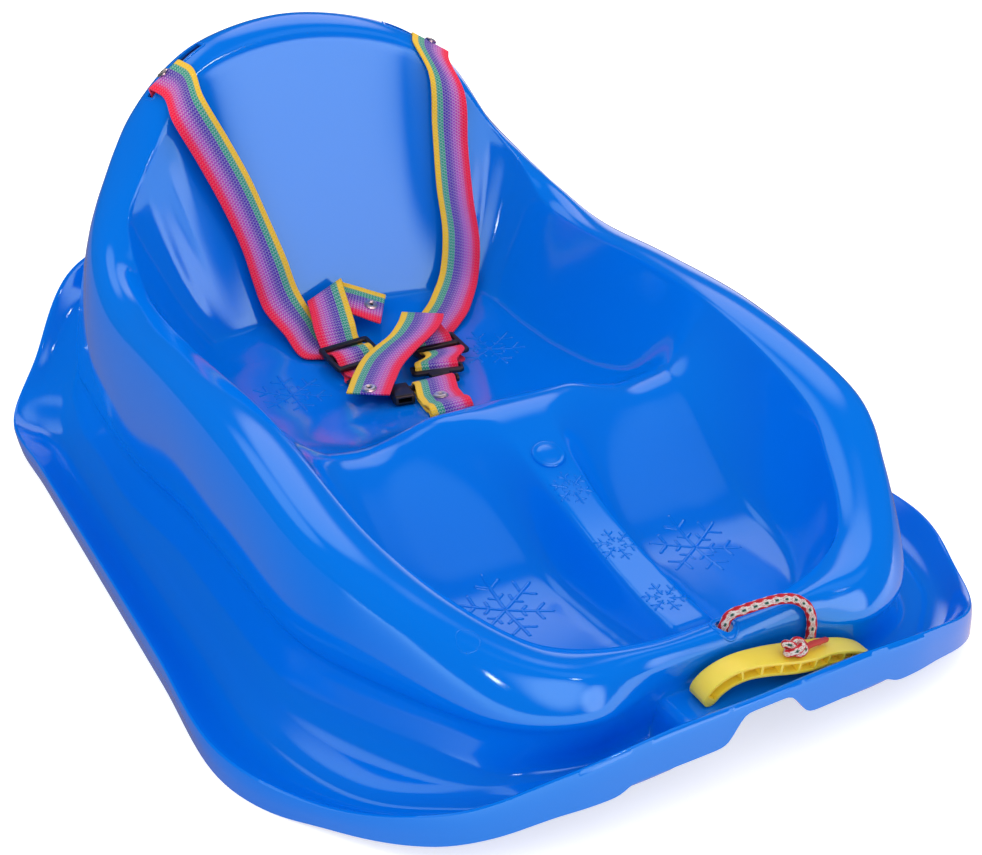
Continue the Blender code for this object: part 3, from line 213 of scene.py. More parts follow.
def profile(table, x):
    """Curve through a two-column table that never overshoots its rows."""
    xs, ys = np.array(table, float).T
    x = np.clip(np.asarray(x, float), xs[0], xs[-1])
    step = np.diff(xs)
    slope = np.diff(ys) / step
    bend = np.zeros(len(xs))
    both = slope[:-1] * slope[1:] > 0
    total = np.where(both, slope[:-1] + slope[1:], 1)
    bend[1:-1] = np.where(both, 2 * slope[:-1] * slope[1:] / total, 0)
    bend[0], bend[-1] = slope[0], slope[-1]
    i = np.clip(np.searchsorted(xs, x) - 1, 0, len(xs) - 2)
    u = (x - xs[i]) / step[i]
    return ys[i] * (1 + 2 * u) * (1 - u) ** 2 + step[i] * bend[i] * u * (1 - u) ** 2 + ys[i + 1] * u * u * (3 - 2 * u) + step[i] * bend[i + 1] * u * u * (u - 1)


def smooth_step(a, b, x):
    x = np.clip((x - a) / (b - a), 0, 1)
    return x * x * (3 - 2 * x)


def unit(v):
    return v / np.maximum(np.linalg.norm(v, axis=-1, keepdims=True), 1e-9)


# --------------------------------------------------------------------- hull
def floor_height(x, y):
    x = np.abs(np.asarray(x, float))
    y = np.asarray(y, float)
    well = profile(WELL_PROFILE, y)
    ridge = profile(RIDGE_PROFILE, y)
    # crisp along the ridge's top edge, with a wide fillet at its foot
    k = np.clip((x - profile(RIDGE_HALF_WIDTH, y)) / profile(RIDGE_FLANK, y), 0, 1)
    off = (1 - k * k * 1.12 / (k + 0.12)) ** 2
    return well + (ridge - well) * off + SEAT_SIDE_RISE * smooth_step(80, 118, x)


def skirt_edge(t, lip):
    front = profile(SKIRT_FRONT, np.abs(lip[:, 0]))
    back = np.interp(t, *np.array(SKIRT_BACK).T)
    k = smooth_step(4.0, 4.6, t)
    return front * (1 - k) + back * k


def recess_floor(points):
    """Give the flange in front of the tub its shelf and hook pockets."""
    x = np.abs(points[:, 0])
    front = points[:, 1] < -250
    level = SHELF_HEIGHT + (POCKET_HEIGHT - SHELF_HEIGHT) * smooth_step(*SHELF_END, x)
    share = np.where(front, 1 - smooth_step(*POCKET_END, x), 0)
    points[:, 2] += (level - points[:, 2]) * share


def hull_rings(t, floor_steps=(0.16, 0.34, 0.55, 0.8)):
    """The upper surface in rings, from the middle of the floor outwards."""
    inner = loop_spline(RIM_INNER, t)
    crown = loop_spline(RIM_CROWN, t)
    outer = loop_spline(RIM_OUTER, t)
    step = loop_spline(STEP, t)
    foot = loop_spline(TUB_FOOT, t)
    riser = loop_spline(RUNNER_STEP, t)
    lip = loop_spline(LIP, t)
    edge = loop_spline(SEAT_OUTLINE, t)
    edge[:, 2] = floor_height(edge[:, 0], edge[:, 1])
    recess_floor(foot)
    recess_floor(riser)
    up = np.array([0.0, 0.0, 1.0])
    nothing = np.zeros_like(t)

    spine_y = np.interp(edge[:, 1], [-273.5, 155], [-243, 124.5])
    spine = np.column_stack([nothing, spine_y, floor_height(nothing, spine_y)])
    rings = [spine]
    for share in floor_steps:
        p = spine + (edge - spine) * share
        p[:, 2] = floor_height(p[:, 0], p[:, 1])
        rings.append(p)
    # inner wall, slightly hollowed
    wall = inner - edge
    away = unit(wall * [1, 1, 0])
    rings.append(edge + up * 1.2 + away * 0.8)
    for share, hollow in ((0.12, 2.4), (0.36, 4.5), (0.64, 3.4), (0.88, 1.0)):
        rings.append(edge + wall * share + away * hollow)
    # rolled rim
    lift = np.interp(t, *np.array(RIM_LIFT).T)[:, None] * up
    rings.append(inner)
    rings.append(inner + (crown - inner) * 0.45 + lift)
    rings.append(crown)
    rings.append(crown + (outer - crown) * 0.55 + lift)
    rings.append(outer)
    # outer wall of the tub down to the step
    down = step - outer
    swell = np.interp(t, [0, 1, 2, 4, 6, 9, 10, 12, 14], [0, 0.5, 2, 6, 9, 8, 6, 3, 3])[:, None]
    side = unit(np.column_stack([step[:, 0], np.interp(t, [0, 2, 3.5, 5, 9, 10.5, 12, 14], [-200, -160, -120, -30, 10, 100, 200, 200]), nothing]))
    for share, much in ((0.14, 0.45), (0.45, 1.0), (0.84, 0.75)):
        rings.append(outer + down * share + side * swell * much)
    rings.append(step)
    within = unit(np.column_stack([-step[:, 0], np.interp(t, [0, 2, 4, 6, 9, 11, 14], [60, 50, 30, 0, 0, -60, -100]), nothing]))
    ledge = np.interp(t, [0, 1, 2, 10, 12, 14], [0, 0.5, 4, 4, 3, 2])[:, None]
    rings.append(step + within * ledge - up * 2.6)
    rings.append(step + (foot - step) * 0.6 + within * ledge * 0.4)
    rings.append(foot + up * 1.0)
    # runner: small step down into the gutter, then up to the lip; in front
    # the flange is a tray with an upright wall instead
    deep = np.interp(t, [0, 2.1, 2.9, 9.9, 10.35, 14], [0, 0, 1, 1, 0, 0])[:, None]
    tray = (1 - smooth_step(1.75, 2.3, t))[:, None]
    out = lip - riser
    ahead = loop_spline(LIP, np.minimum(t + 0.02, 14)) - loop_spline(LIP, np.maximum(t - 0.02, 0))
    flat = unit(np.column_stack([ahead[:, 1], -ahead[:, 0], nothing]))
    rings.append(riser)
    upright = ((0.03, 0.02), (0.06, 0.08), (0.08, 0.3), (0.11, 0.56))
    sloped = ((0.11, 0.0, 0.88), (0.25, 0.06, 1.0), (0.45, 0.14, 1.0), (0.64, 0.36, 0.6))
    for (share, climb, sink), (share_2, climb_2) in zip(sloped, upright):
        p = riser + out * share
        p[:, 2:] = riser[:, 2:] + out[:, 2:] * climb - GUTTER_DEPTH * sink * deep
        q = riser + out * share_2
        q[:, 2:] = riser[:, 2:] + out[:, 2:] * climb_2
        rings.append(p + (q - p) * tray)
    rings.append(lip - flat * 4.5 - up * 1.8)
    rings.append(lip - flat * 2.1)
    rings.append(lip - up * 1.3)
    low = skirt_edge(t, lip)
    hem = lip + flat * np.interp(t, [0, 3, 4, 6, 14], [0.4, 0, -1.5, -2.8, -3.2])[:, None]
    hem[:, 2] = low
    rings.append(hem)
    for ring in rings:
        ring[[0, -1], 0] = 0
    return rings, flat


def cut(obj, cutter, how="DIFFERENCE"):
    modifier = obj.modifiers.new(cutter.name, "BOOLEAN")
    modifier.operation = how
    modifier.solver = "EXACT"
    modifier.object = cutter


def hide_cutter(obj, collection):
    obj.hide_render = True
    obj.display_type = "WIRE"
    for held in list(obj.users_collection):
        held.objects.unlink(obj)
    collection.objects.link(obj)
    return obj


def axes(place):
    """Origin and three square unit axes from an origin and two directions."""
    origin, first, second = (np.array(v, float) for v in place)
    second = unit(second)
    first = unit(first - second * (first @ second))
    return origin, first, second, np.cross(second, first)


def matrix(origin, x, y, z):
    m = Matrix.Identity(4)
    for i, v in enumerate((x, y, z)):
        for k in range(3):
            m[k][i] = v[k]
    for k in range(3):
        m[k][3] = origin[k] * MM
    return m


def box(name, size, place, look, collection, bevel=0.0):
    bpy.ops.mesh.primitive_cube_add(size=1)
    obj = bpy.context.active_object
    obj.name = name
    obj.data.name = name
    obj.data.transform(Matrix.Diagonal((size[0] * MM, size[1] * MM, size[2] * MM, 1)))
    obj.matrix_world = place
    return finish(obj, look, collection, bevel)


def rod(name, radius, depth, place, look, collection, sides=24, bevel=0.0):
    """Cylinder along the local Z of its place."""
    bpy.ops.mesh.primitive_cylinder_add(vertices=sides, radius=radius * MM, depth=depth * MM)
    obj = bpy.context.active_object
    obj.name = name
    obj.data.name = name
    obj.matrix_world = place
    return finish(obj, look, collection, bevel)


def finish(obj, look, collection, bevel=0.0):
    for held in list(obj.users_collection):
        held.objects.unlink(obj)
    collection.objects.link(obj)
    if look:
        obj.data.materials.append(look)
    if bevel:
        edge = obj.modifiers.new("bevel", "BEVEL")
        edge.width = bevel * MM
        edge.segments = 2
    return obj


def move_origin(obj, point):
    """Put the object's origin at a point in millimetres, shape unmoved."""
    shift = obj.matrix_world.inverted() @ (Vector(point) * MM)
    obj.data.transform(Matrix.Translation(-shift))
    obj.matrix_world = obj.matrix_world @ Matrix.Translation(shift)


def turned(name, profile_points, place, look, collection, steps=14, closed=False, flip=False):
    """Profile of (radius, height) turned round the local Z with a Screw."""
    mesh = bpy.data.meshes.new(name)
    n = len(profile_points)
    edges = [(i, i + 1) for i in range(n - 1)] + ([(n - 1, 0)] if closed else [])
    mesh.from_pydata([(r * MM, 0, h * MM) for r, h in profile_points], edges, [])
    obj = bpy.data.objects.new(name, mesh)
    obj.matrix_world = place
    collection.objects.link(obj)
    mesh.materials.append(look)
    screw = obj.modifiers.new("screw", "SCREW")
    screw.steps = screw.render_steps = steps
    screw.use_merge_vertices = True
    screw.merge_threshold = 0.00005
    screw.use_normal_calculate = True
    screw.use_normal_flip = flip
    return obj


def flat_outline(name, loops, half_thick, place, look, collection):
    curve = bpy.data.curves.new(name, "CURVE")
    curve.dimensions = "2D"
    curve.fill_mode = "BOTH"
    curve.extrude = half_thick * MM
    for loop in loops:
        spline = curve.splines.new("POLY")
        spline.points.add(len(loop) - 1)
        for point, (x, y) in zip(spline.points, loop):
            point.co = (x * MM, y * MM, 0, 1)
        spline.use_cyclic_u = True
    obj = bpy.data.objects.new(name, curve)
    obj.matrix_world = place
    collection.objects.link(obj)
    if look:
        curve.materials.append(look)
    return obj


def as_mesh(obj, collection):
    """The curve as a mesh with its caps welded, so that it can be cut."""
    bpy.context.view_layer.update()
    mesh = bpy.data.meshes.new_from_object(obj.evaluated_get(bpy.context.evaluated_depsgraph_get()))
    bm = bmesh.new()
    bm.from_mesh(mesh)
    bmesh.ops.remove_doubles(bm, verts=bm.verts, dist=1e-6)
    bmesh.ops.recalc_face_normals(bm, faces=bm.faces)
    bm.to_mesh(mesh)
    bm.free()
    name = obj.name
    made = bpy.data.objects.new(name + "_solid", mesh)
    made.matrix_world = obj.matrix_world
    collection.objects.link(made)
    bpy.data.objects.remove(obj, do_unlink=True)
    made.name = name
    made.data.name = name
    return made


def smooth_rows(rows, spacing):
    """Smooth curve through rows of numbers; even where they lie unevenly."""
    p = np.array(rows, float).reshape(len(rows), -1)
    middle = p.reshape(len(p), -1, 3).mean(axis=1)
    d = np.maximum(np.linalg.norm(np.diff(middle, axis=0), axis=1), 1e-6)
    slope = np.diff(p, axis=0) / d[:, None]
    bend = np.empty_like(p)
    bend[0], bend[-1] = slope[0], slope[-1]
    bend[1:-1] = (slope[1:] * d[:-1, None] + slope[:-1] * d[1:, None]) / (d[:-1] + d[1:])[:, None]
    out = [p[0]]
    for i in range(len(p) - 1):
        n = max(1, int(math.ceil(d[i] / spacing)))
        for u in np.arange(1, n + 1) / n:
            out.append(p[i] * (1 + 2 * u) * (1 - u) ** 2 + bend[i] * d[i] * u * (1 - u) ** 2 + p[i + 1] * u * u * (3 - 2 * u) + bend[i + 1] * d[i] * u * u * (u - 1))
    return np.array(out)


# ------------------------------------------------------------------ harness
def surface_of(obj):
    bpy.context.view_layer.update()
    return BVHTree.FromObject(obj, bpy.context.evaluated_depsgraph_get())


def clear_of(tree, row, free):
    """Shift a row of points until none is nearer than free to the surface."""
    row = np.array(row, float)
    for turn in range(4):
        worst, shift = free - 1e-3, None
        for share in (0, 0.17, 0.33, 0.5, 0.67, 0.83, 1):
            p = row[0] + (row[-1] - row[0]) * share
            where, normal, face, distance = tree.find_nearest(Vector(p * MM))
            away = np.array(Vector(p * MM) - where) / MM
            signed = distance / MM * (1 if away @ np.array(normal) > 0 else -1)
            if signed < worst:
                worst, shift = signed, np.array(normal) * (free - signed)
        if shift is None:
            break
        row = row + shift
    return row


def square_row(red, yellow, width=STRAP_WIDTH):
    red, yellow = np.array(red, float), np.array(yellow, float)
    middle, side = (red + yellow) / 2, unit(yellow - red)
    return [middle - side * width / 2, middle + side * width / 2]


def row_at(middle, side, width=STRAP_WIDTH):
    middle, side = np.array(middle, float), unit(np.array(side, float))
    return [middle - side * width / 2, middle + side * width / 2]


def round_bar(centre, side, start, up, radius, angles):
    """Rows of a strap round a bar; angles in degrees from start towards up."""
    rows = []
    for a in angles:
        r = math.radians(a)
        rows.append(row_at(centre + (start * math.cos(r) + up * math.sin(r)) * radius, side))
    return rows


def slot_frame(side):
    """Ends of a shoulder slot on one side, outer and inner, and the direction along the slot to the inner end."""
    outer, inner = (np.array(p, float) * [side, 1, 1] for p in SLOT_ENDS)
    along = unit(inner - outer)
    return outer, inner, along


def shoulder_start(tree, side):
    outer, inner, along = slot_frame(side)
    middle = outer + along * SLOT_REACH
    facing = unit(np.array([0.3 * side, -0.58, 0.755]))
    where, normal, face, distance = tree.ray_cast(Vector((middle + facing * 20) * MM), Vector(-facing))
    top = np.array(where) / MM
    out = unit(np.array(normal) - along * (np.array(normal) @ along))
    ahead = np.cross(along, out)
    if ahead[1] > 0:
        ahead = -ahead
    return top, along, out, ahead


def strap_through_slot(tree, upper, side):
    top, along, out, ahead = shoulder_start(upper, side)
    rows = []
    for a, h in ((-11.5, -9.5), (-6.5, -7.6)):
        rows.append(clear_of(tree, row_at(top + ahead * a + out * h, along), REST + 0.2))
    for a, h in ((-2.2, -6.0), (-0.6, -4.0), (-0.1, -1.6), (0.3, 0.6), (1.6, 2.2)):
        rows.append(row_at(top + ahead * a + out * h, along))
    rows.append(clear_of(upper, row_at(top + ahead * 4.2 + out * 2.3, along), REST + 0.3))
    return rows


def through_slider(place, side, path):
    origin, long, down, up = axes(place)
    return [row_at(origin + down * a + up * h, long * side) for a, h in path]


OVER_MIDDLE = ((17.8, -2.5), (14.5, -2.75), (11.3, -2.65), (9.4, -2.1), (6.5, 0), (3.8, 2.15), (2, 2.6), (0, 2.65), (-2, 2.6), (-3.8, 2.15), (-6.5, 0), (-9.4, -2.1), (-11.3, -2.65), (-14, -2.6), (-17, -1.7))
UNDER_MIDDLE = tuple((a, -h) for a, h in OVER_MIDDLE[1:-1])


def cylinder_place(point, out):
    out = unit(np.array(out, float))
    side = unit(np.cross(out, [0.3, 1.0, 0.1]))
    return matrix(point, side, np.cross(out, side), out)


def rivet(name, point, out, span, look, collection, head=RIVET_HEAD, tail=4.0):
    """Headed rivet: from the head's lower face, span mm of shank below it."""
    shape = [(0, 0.75), (1.5, 0.75), (2.0, 1.35), (head - 1.4, 1.3), (head - 0.4, 0.85), (head, 0.0), (RIVET_SHANK, 0.0), (RIVET_SHANK, -span), (tail, -span), (tail, -span - 0.5), (0, -span - 0.5)]
    return turned(name, shape, cylinder_place(point, out), look, collection, flip=True)


def half_line():
    rows = np.array(HANDLE_LINE, float)
    fine = smooth_rows([(a, b, c) for a, b, c in rows], 3.0)
    return fine


BACK = Vector((-0.43864, -0.80084, 0.40779))
BRAID_PITCH = 5.6
COIL_TURNS = ((32.1, 2.9), (32.1, 8.2), (26.7, 8.2), (26.7, 2.9))
SMALL_FLAKES = [(0, -156.8), (0, -201.4), (0, -246.0)]
LARGE_FLAKES = [(-61.8, -188.6), (61.8, -188.6), (-75.0, 76.0), (75.0, 76.0)]
SMALL_FLAKE, LARGE_FLAKE = 7.6, 16.2
STUD = (0, -132.0)
STUD_RADIUS = 9.8
FINE_STATIONS = np.concatenate([np.arange(0, 3.2, 0.08), np.arange(3.2, 10.0, 0.16), np.arange(10.0, 14.0, 0.1), [14.0]])
FINE_FLOOR = (0.05, 0.08, 0.105, 0.125, 0.15, 0.18, 0.22, 0.27, 0.33, 0.40, 0.48, 0.57, 0.66, 0.75, 0.84, 0.92, 0.975)


def bake(obj):
    """The evaluated shape as the object's own mesh, without modifiers."""
    bpy.context.view_layer.update()
    graph = bpy.context.evaluated_depsgraph_get()
    mesh = bpy.data.meshes.new_from_object(obj.evaluated_get(graph), preserve_all_data_layers=True, depsgraph=graph)
    if obj.type == "MESH":
        obj.modifiers.clear()
        obj.data = mesh
        mesh.name = obj.name
        return obj
    name = obj.name
    made = bpy.data.objects.new(name + "_mesh", mesh)
    made.matrix_world = obj.matrix_world
    SCENE.objects.link(made)
    bpy.data.objects.remove(obj, do_unlink=True)
    made.name = name
    return made


def soften(obj, angle=40):
    for face in obj.data.polygons:
        face.use_smooth = True
    obj.data.set_sharp_from_angle(angle=math.radians(angle))
    return obj


def dress(obj, look):
    obj.data.materials.clear()
    obj.data.materials.append(look)
    return obj


def belongs(obj, body, slot, *nodes):
    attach(obj, body)
    if nodes:
        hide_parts(*nodes)
    return obj


# ---------------------------------------------------------------- materials
def blank(name):
    made = bpy.data.materials.new(name)
    made.use_nodes = True
    tree = made.node_tree
    return made, tree.nodes, tree.links, tree.nodes["Principled BSDF"]


def node(nodes, kind, **values):
    made = nodes.new(kind)
    for key, value in values.items():
        setattr(made, key, value)
    return made


def maths(nodes, links, operation, a, b=None, c=None):
    made = node(nodes, "ShaderNodeMath", operation=operation)
    for i, value in enumerate((a, b, c)):
        if value is None:
            continue
        if isinstance(value, (int, float)):
            made.inputs[i].default_value = value
        else:
            links.new(value, made.inputs[i])
    return made.outputs[0]


def moulded(name, colour, rough, coat=0.0, coat_rough=0.05, grain=0.15, scale=420.0, level=0.5, tint=(1, 1, 1), depth=0.0):
    """Moulded plastic: one colour, with a very fine surface grain."""
    made, nodes, links, shader = blank(name)
    shader.inputs["Base Color"].default_value = (*colour, 1)
    shader.inputs["Specular IOR Level"].default_value = level
    shader.inputs["Coat Weight"].default_value = coat
    shader.inputs["Coat Roughness"].default_value = coat_rough
    shader.inputs["Specular Tint"].default_value = (*tint, 1)
    if depth:
        shader.inputs["Subsurface Weight"].default_value = 0.45
        shader.inputs["Subsurface Radius"].default_value = (1.0, 0.75, 0.25)
        shader.inputs["Subsurface Scale"].default_value = depth
    where = node(nodes, "ShaderNodeTexCoord")
    noise = node(nodes, "ShaderNodeTexNoise")
    noise.inputs["Scale"].default_value = scale
    noise.inputs["Detail"].default_value = 3
    links.new(where.outputs["Object"], noise.inputs["Vector"])
    bump = node(nodes, "ShaderNodeBump")
    bump.inputs["Strength"].default_value = grain
    bump.inputs["Distance"].default_value = 0.00012
    links.new(noise.outputs["Fac"], bump.inputs["Height"])
    links.new(bump.outputs["Normal"], shader.inputs["Normal"])
    spread = node(nodes, "ShaderNodeMapRange")
    spread.inputs["To Min"].default_value = rough * 0.85
    spread.inputs["To Max"].default_value = rough * 1.2
    broad = node(nodes, "ShaderNodeTexNoise")
    broad.inputs["Scale"].default_value = 14
    links.new(where.outputs["Object"], broad.inputs["Vector"])
    links.new(broad.outputs["Fac"], spread.inputs["Value"])
    links.new(spread.outputs["Result"], shader.inputs["Roughness"])
    made.diffuse_color = (*colour, 1)
    return made


def metal(name, colour, rough):
    made, nodes, links, shader = blank(name)
    shader.inputs["Base Color"].default_value = (*colour, 1)
    shader.inputs["Metallic"].default_value = 1.0
    where = node(nodes, "ShaderNodeTexCoord")
    noise = node(nodes, "ShaderNodeTexNoise")
    noise.inputs["Scale"].default_value = 900
    links.new(where.outputs["Object"], noise.inputs["Vector"])
    spread = node(nodes, "ShaderNodeMapRange")
    spread.inputs["To Min"].default_value = rough * 0.7
    spread.inputs["To Max"].default_value = rough * 1.4
    links.new(noise.outputs["Fac"], spread.inputs["Value"])
    links.new(spread.outputs["Result"], shader.inputs["Roughness"])
    return made


WEBBING_STRIPES = [
    (0.0, (1.0, 0.006, 0.065), 0.08), (0.15, (0.86, 0.018, 0.16), 0.16), (0.22, (0.60, 0.055, 0.40), 0.34), (0.33, (0.42, 0.060, 0.50), 0.36),
    (0.43, (0.21, 0.045, 0.45), 0.32), (0.52, (0.085, 0.028, 0.41), 0.28), (0.68, (0.012, 0.33, 0.215), 0.34), (0.85, (1.0, 0.60, 0.028), 0.10),
]


def woven(name):
    """Striped webbing: UV's x runs over its width, y along it, one unit a width."""
    made, nodes, links, shader = blank(name)
    place = node(nodes, "ShaderNodeUVMap", uv_map="weave")
    split = node(nodes, "ShaderNodeSeparateXYZ")
    links.new(place.outputs["UV"], split.inputs["Vector"])
    x, y = split.outputs["X"], split.outputs["Y"]
    noise = node(nodes, "ShaderNodeTexNoise")
    noise.inputs["Scale"].default_value = 40
    noise.inputs["Detail"].default_value = 2
    links.new(place.outputs["UV"], noise.inputs["Vector"])
    wobble = maths(nodes, links, "MULTIPLY_ADD", noise.outputs["Fac"], 0.03, -0.015)
    ramp = node(nodes, "ShaderNodeValToRGB")
    ramp.color_ramp.interpolation = "LINEAR"
    elements = ramp.color_ramp.elements
    stops = []
    for i, (start, colour, fleck) in enumerate(WEBBING_STRIPES):
        end = WEBBING_STRIPES[i + 1][0] if i + 1 < len(WEBBING_STRIPES) else 1.0
        soft_start, soft_end = (0.0 if not i else 0.03 if start < 0.6 else 0.012), (0.03 if end < 0.6 else 0.012 if end < 1 else 0.0)
        stops += [(start + soft_start, (*colour, fleck)), (end - soft_end, (*colour, fleck))]
    elements[0].position, elements[0].color = stops[0]
    elements[1].position, elements[1].color = stops[-1]
    for position, colour in stops[1:-1]:
        made_stop = elements.new(position)
        made_stop.color = colour
    links.new(maths(nodes, links, "ADD", x, wobble), ramp.inputs["Fac"])
    # twill: slanted ribs whose slant changes side at each rib of the weave
    across = maths(nodes, links, "PINGPONG", maths(nodes, links, "MULTIPLY", x, 30.0), 1.0)
    slant = maths(nodes, links, "MULTIPLY_ADD", across, 0.5, maths(nodes, links, "MULTIPLY", y, 14.0))
    rib = maths(nodes, links, "SINE", maths(nodes, links, "MULTIPLY", slant, 6.2832))
    column = maths(nodes, links, "SINE", maths(nodes, links, "MULTIPLY", x, 15.0 * 6.2832))
    thread = maths(nodes, links, "MULTIPLY_ADD", rib, 0.6, maths(nodes, links, "MULTIPLY", column, 0.25))
    fleck = node(nodes, "ShaderNodeTexNoise")
    fleck.inputs["Scale"].default_value = 60
    links.new(place.outputs["UV"], fleck.inputs["Vector"])
    tone = maths(nodes, links, "ADD", maths(nodes, links, "MULTIPLY_ADD", thread, 1.2, 0.12), maths(nodes, links, "MULTIPLY_ADD", fleck.outputs["Fac"], 1.4, -0.7))
    tone_node = node(nodes, "ShaderNodeMath", operation="MULTIPLY", use_clamp=True)
    links.new(tone, tone_node.inputs[0])
    tone_node.inputs[1].default_value = 1.5
    share = maths(nodes, links, "MULTIPLY", tone_node.outputs[0], maths(nodes, links, "MULTIPLY", ramp.outputs["Alpha"], 1.1))
    light = node(nodes, "ShaderNodeMix", data_type="RGBA", blend_type="MIX")
    links.new(share, light.inputs["Factor"])
    links.new(ramp.outputs["Color"], light.inputs["A"])
    light.inputs["B"].default_value = (0.86, 0.86, 0.92, 1)
    links.new(light.outputs["Result"], shader.inputs["Base Color"])
    shader.inputs["Roughness"].default_value = 0.72
    shader.inputs["Sheen Weight"].default_value = 0.05
    shader.inputs["Specular IOR Level"].default_value = 0.15
    bump = node(nodes, "ShaderNodeBump")
    bump.inputs["Strength"].default_value = 0.5
    bump.inputs["Distance"].default_value = 0.0003
    links.new(thread, bump.inputs["Height"])
    links.new(bump.outputs["Normal"], shader.inputs["Normal"])
    return made


def braid_look(name, colour_name="braid"):
    made, nodes, links, shader = blank(name)
    paint = node(nodes, "ShaderNodeAttribute", attribute_name=colour_name)
    noise = node(nodes, "ShaderNodeTexNoise")
    noise.inputs["Scale"].default_value = 2600
    where = node(nodes, "ShaderNodeTexCoord")
    links.new(where.outputs["Object"], noise.inputs["Vector"])
    shade = node(nodes, "ShaderNodeMix", data_type="RGBA", blend_type="MULTIPLY")
    shade.inputs["Factor"].default_value = 0.35
    links.new(paint.outputs["Color"], shade.inputs["A"])
    links.new(noise.outputs["Color"], shade.inputs["B"])
    links.new(shade.outputs["Result"], shader.inputs["Base Color"])
    shader.inputs["Roughness"].default_value = 0.75
    shader.inputs["Specular IOR Level"].default_value = 0.3
    bump = node(nodes, "ShaderNodeBump")
    bump.inputs["Strength"].default_value = 0.4
    bump.inputs["Distance"].default_value = 0.0002
    links.new(noise.outputs["Fac"], bump.inputs["Height"])
    links.new(bump.outputs["Normal"], shader.inputs["Normal"])
    return made


# --------------------------------------------------------------------- rope
def even(points, spacing):
    p = np.array(points, float)
    d = np.concatenate([[0], np.cumsum(np.linalg.norm(np.diff(p, axis=0), axis=1))])
    s = np.linspace(0, d[-1], max(2, int(round(d[-1] / spacing)) + 1))
    return np.column_stack([np.interp(s, d, p[:, i]) for i in range(3)])


def coil_path():
    """The hidden end: the path's run to the coil, its turns and the stopper."""
    path = smooth_rows(ROPE_PATH, 0.6)
    start, turns = 205.0, 3.4
    rows = []
    steps = int(turns * 60)
    for k in range(1, steps + 1):
        done = turns * k / steps
        i = min(int(done), 3)
        f = done - i
        here, there = COIL_TURNS[i], COIL_TURNS[min(i + 1, 3)]
        change = float(smooth_step(0.78, 1.0, f)) if i < 3 else 0.0
        r = here[0] + (there[0] - here[0]) * change
        z = here[1] + (there[1] - here[1]) * change
        a = math.radians(start - 360 * done)
        rows.append((COIL_CENTRE[0] + r * math.cos(a), COIL_CENTRE[1] + r * math.sin(a), z))
    x, y = COIL_CENTRE
    end = [(x + 19.0, y + 17.0, 3.2), (x + 21.6, y + 11.0, 4.4), (x + 19.5, y + 6.2, 6.0)]
    # ease from the run into the first turn
    rows = np.array(rows)
    whole = np.vstack([path[:-2], smooth_rows([path[-2], path[-1], *rows[1:-1], *end], 0.9)])
    return even(whole, 0.45)


# RED and WHITE are the strands' colours and FLECK the dark flecks in the white ones; the last colour is painted shade
# for the grooves between white strands
RED, WHITE, FLECK, GROOVE_SHADE_ON_WHITE = (0.72, 0.012, 0.035), (0.86, 0.82, 0.80), (0.012, 0.10, 0.075), (0.62, 0.26, 0.28)


def braided(name, line, radius, look, around=36, closed=False, white=True, turn=0.0):
    """Round braid along a line of points in millimetres, with painted strands and painted shade in the grooves between
    them.
    """
    line = np.array(line, float)
    if closed:
        ahead = np.roll(line, -1, axis=0) - np.roll(line, 1, axis=0)
    else:
        ahead = np.gradient(line, axis=0)
    t = unit(ahead)
    ref = np.array(BACK)
    n = unit(ref - t * (t @ ref)[:, None])
    b = np.cross(t, n)
    s = np.concatenate([[0], np.cumsum(np.linalg.norm(np.diff(line, axis=0), axis=1))]) / BRAID_PITCH
    angle = np.linspace(-math.pi, math.pi, around, endpoint=False) + math.radians(turn)
    folded = (np.mod(angle * 3 + math.pi, 2 * math.pi) - math.pi) / 3
    a = np.degrees(np.abs(folded))[None, :]
    sg = np.sign(folded)[None, :]
    S = s[:, None]
    phase = np.mod(S + a / 52, 1)
    ridge = 0.5 - 0.5 * np.cos(2 * math.pi * phase)
    centre = np.mod(S, 1) - 0.5
    relief = 1 - 0.09 * (1 - ridge) ** 2 - 0.05 * np.exp(-(a / 8) ** 2)
    colour = np.zeros((len(line), around, 4))
    colour[..., 3] = 1
    border = 34 + 9 * np.cos(2 * math.pi * (S + 0.5))
    is_white = (a < border) & white
    base = np.where(is_white[..., None], np.array(WHITE), np.array(RED))
    # painted shade: the grooves between strands get a darker colour, pink-grey on the white strands and darker red on
    # the red ones
    groove = (phase < 0.17)[..., None]
    base = np.where(groove & is_white[..., None], np.array(GROOVE_SHADE_ON_WHITE), base)
    base = np.where(groove & ~is_white[..., None], np.array(RED) * 0.45, base)
    fleck = ((centre / 0.2) ** 2 + (a / 15) ** 2 < 1) & is_white
    base = np.where(fleck[..., None], np.array(FLECK), base)
    colour[..., :3] = base
    r = radius * relief
    ring = line[:, None, :] + (n[:, None, :] * np.cos(angle)[None, :, None] + b[:, None, :] * np.sin(angle)[None, :, None]) * r[..., None]
    points = ring.reshape(-1, 3) * MM
    count = len(line)
    faces = []
    for i in range(count if closed else count - 1):
        j = (i + 1) % count
        for k in range(around):
            m = (k + 1) % around
            faces.append((i * around + k, i * around + m, j * around + m, j * around + k))
    paint = colour.reshape(-1, 4)
    if not closed:
        for row, flip in ((0, True), (count - 1, False)):
            loop = [row * around + k for k in range(around)]
            faces.append(tuple(loop[::-1] if flip else loop))
    mesh = bpy.data.meshes.new(name)
    mesh.from_pydata(points.tolist(), [], faces)
    layer = mesh.attributes.new("braid", "FLOAT_COLOR", "POINT")
    layer.data.foreach_set("color", paint.astype(np.float32).ravel())
    for face in mesh.polygons:
        face.use_smooth = True
    bm = bmesh.new()
    bm.from_mesh(mesh)
    bmesh.ops.recalc_face_normals(bm, faces=bm.faces)
    bm.to_mesh(mesh)
    bm.free()
    mesh.materials.append(look)
    obj = bpy.data.objects.new(name, mesh)
    SCENE.objects.link(obj)
    return obj


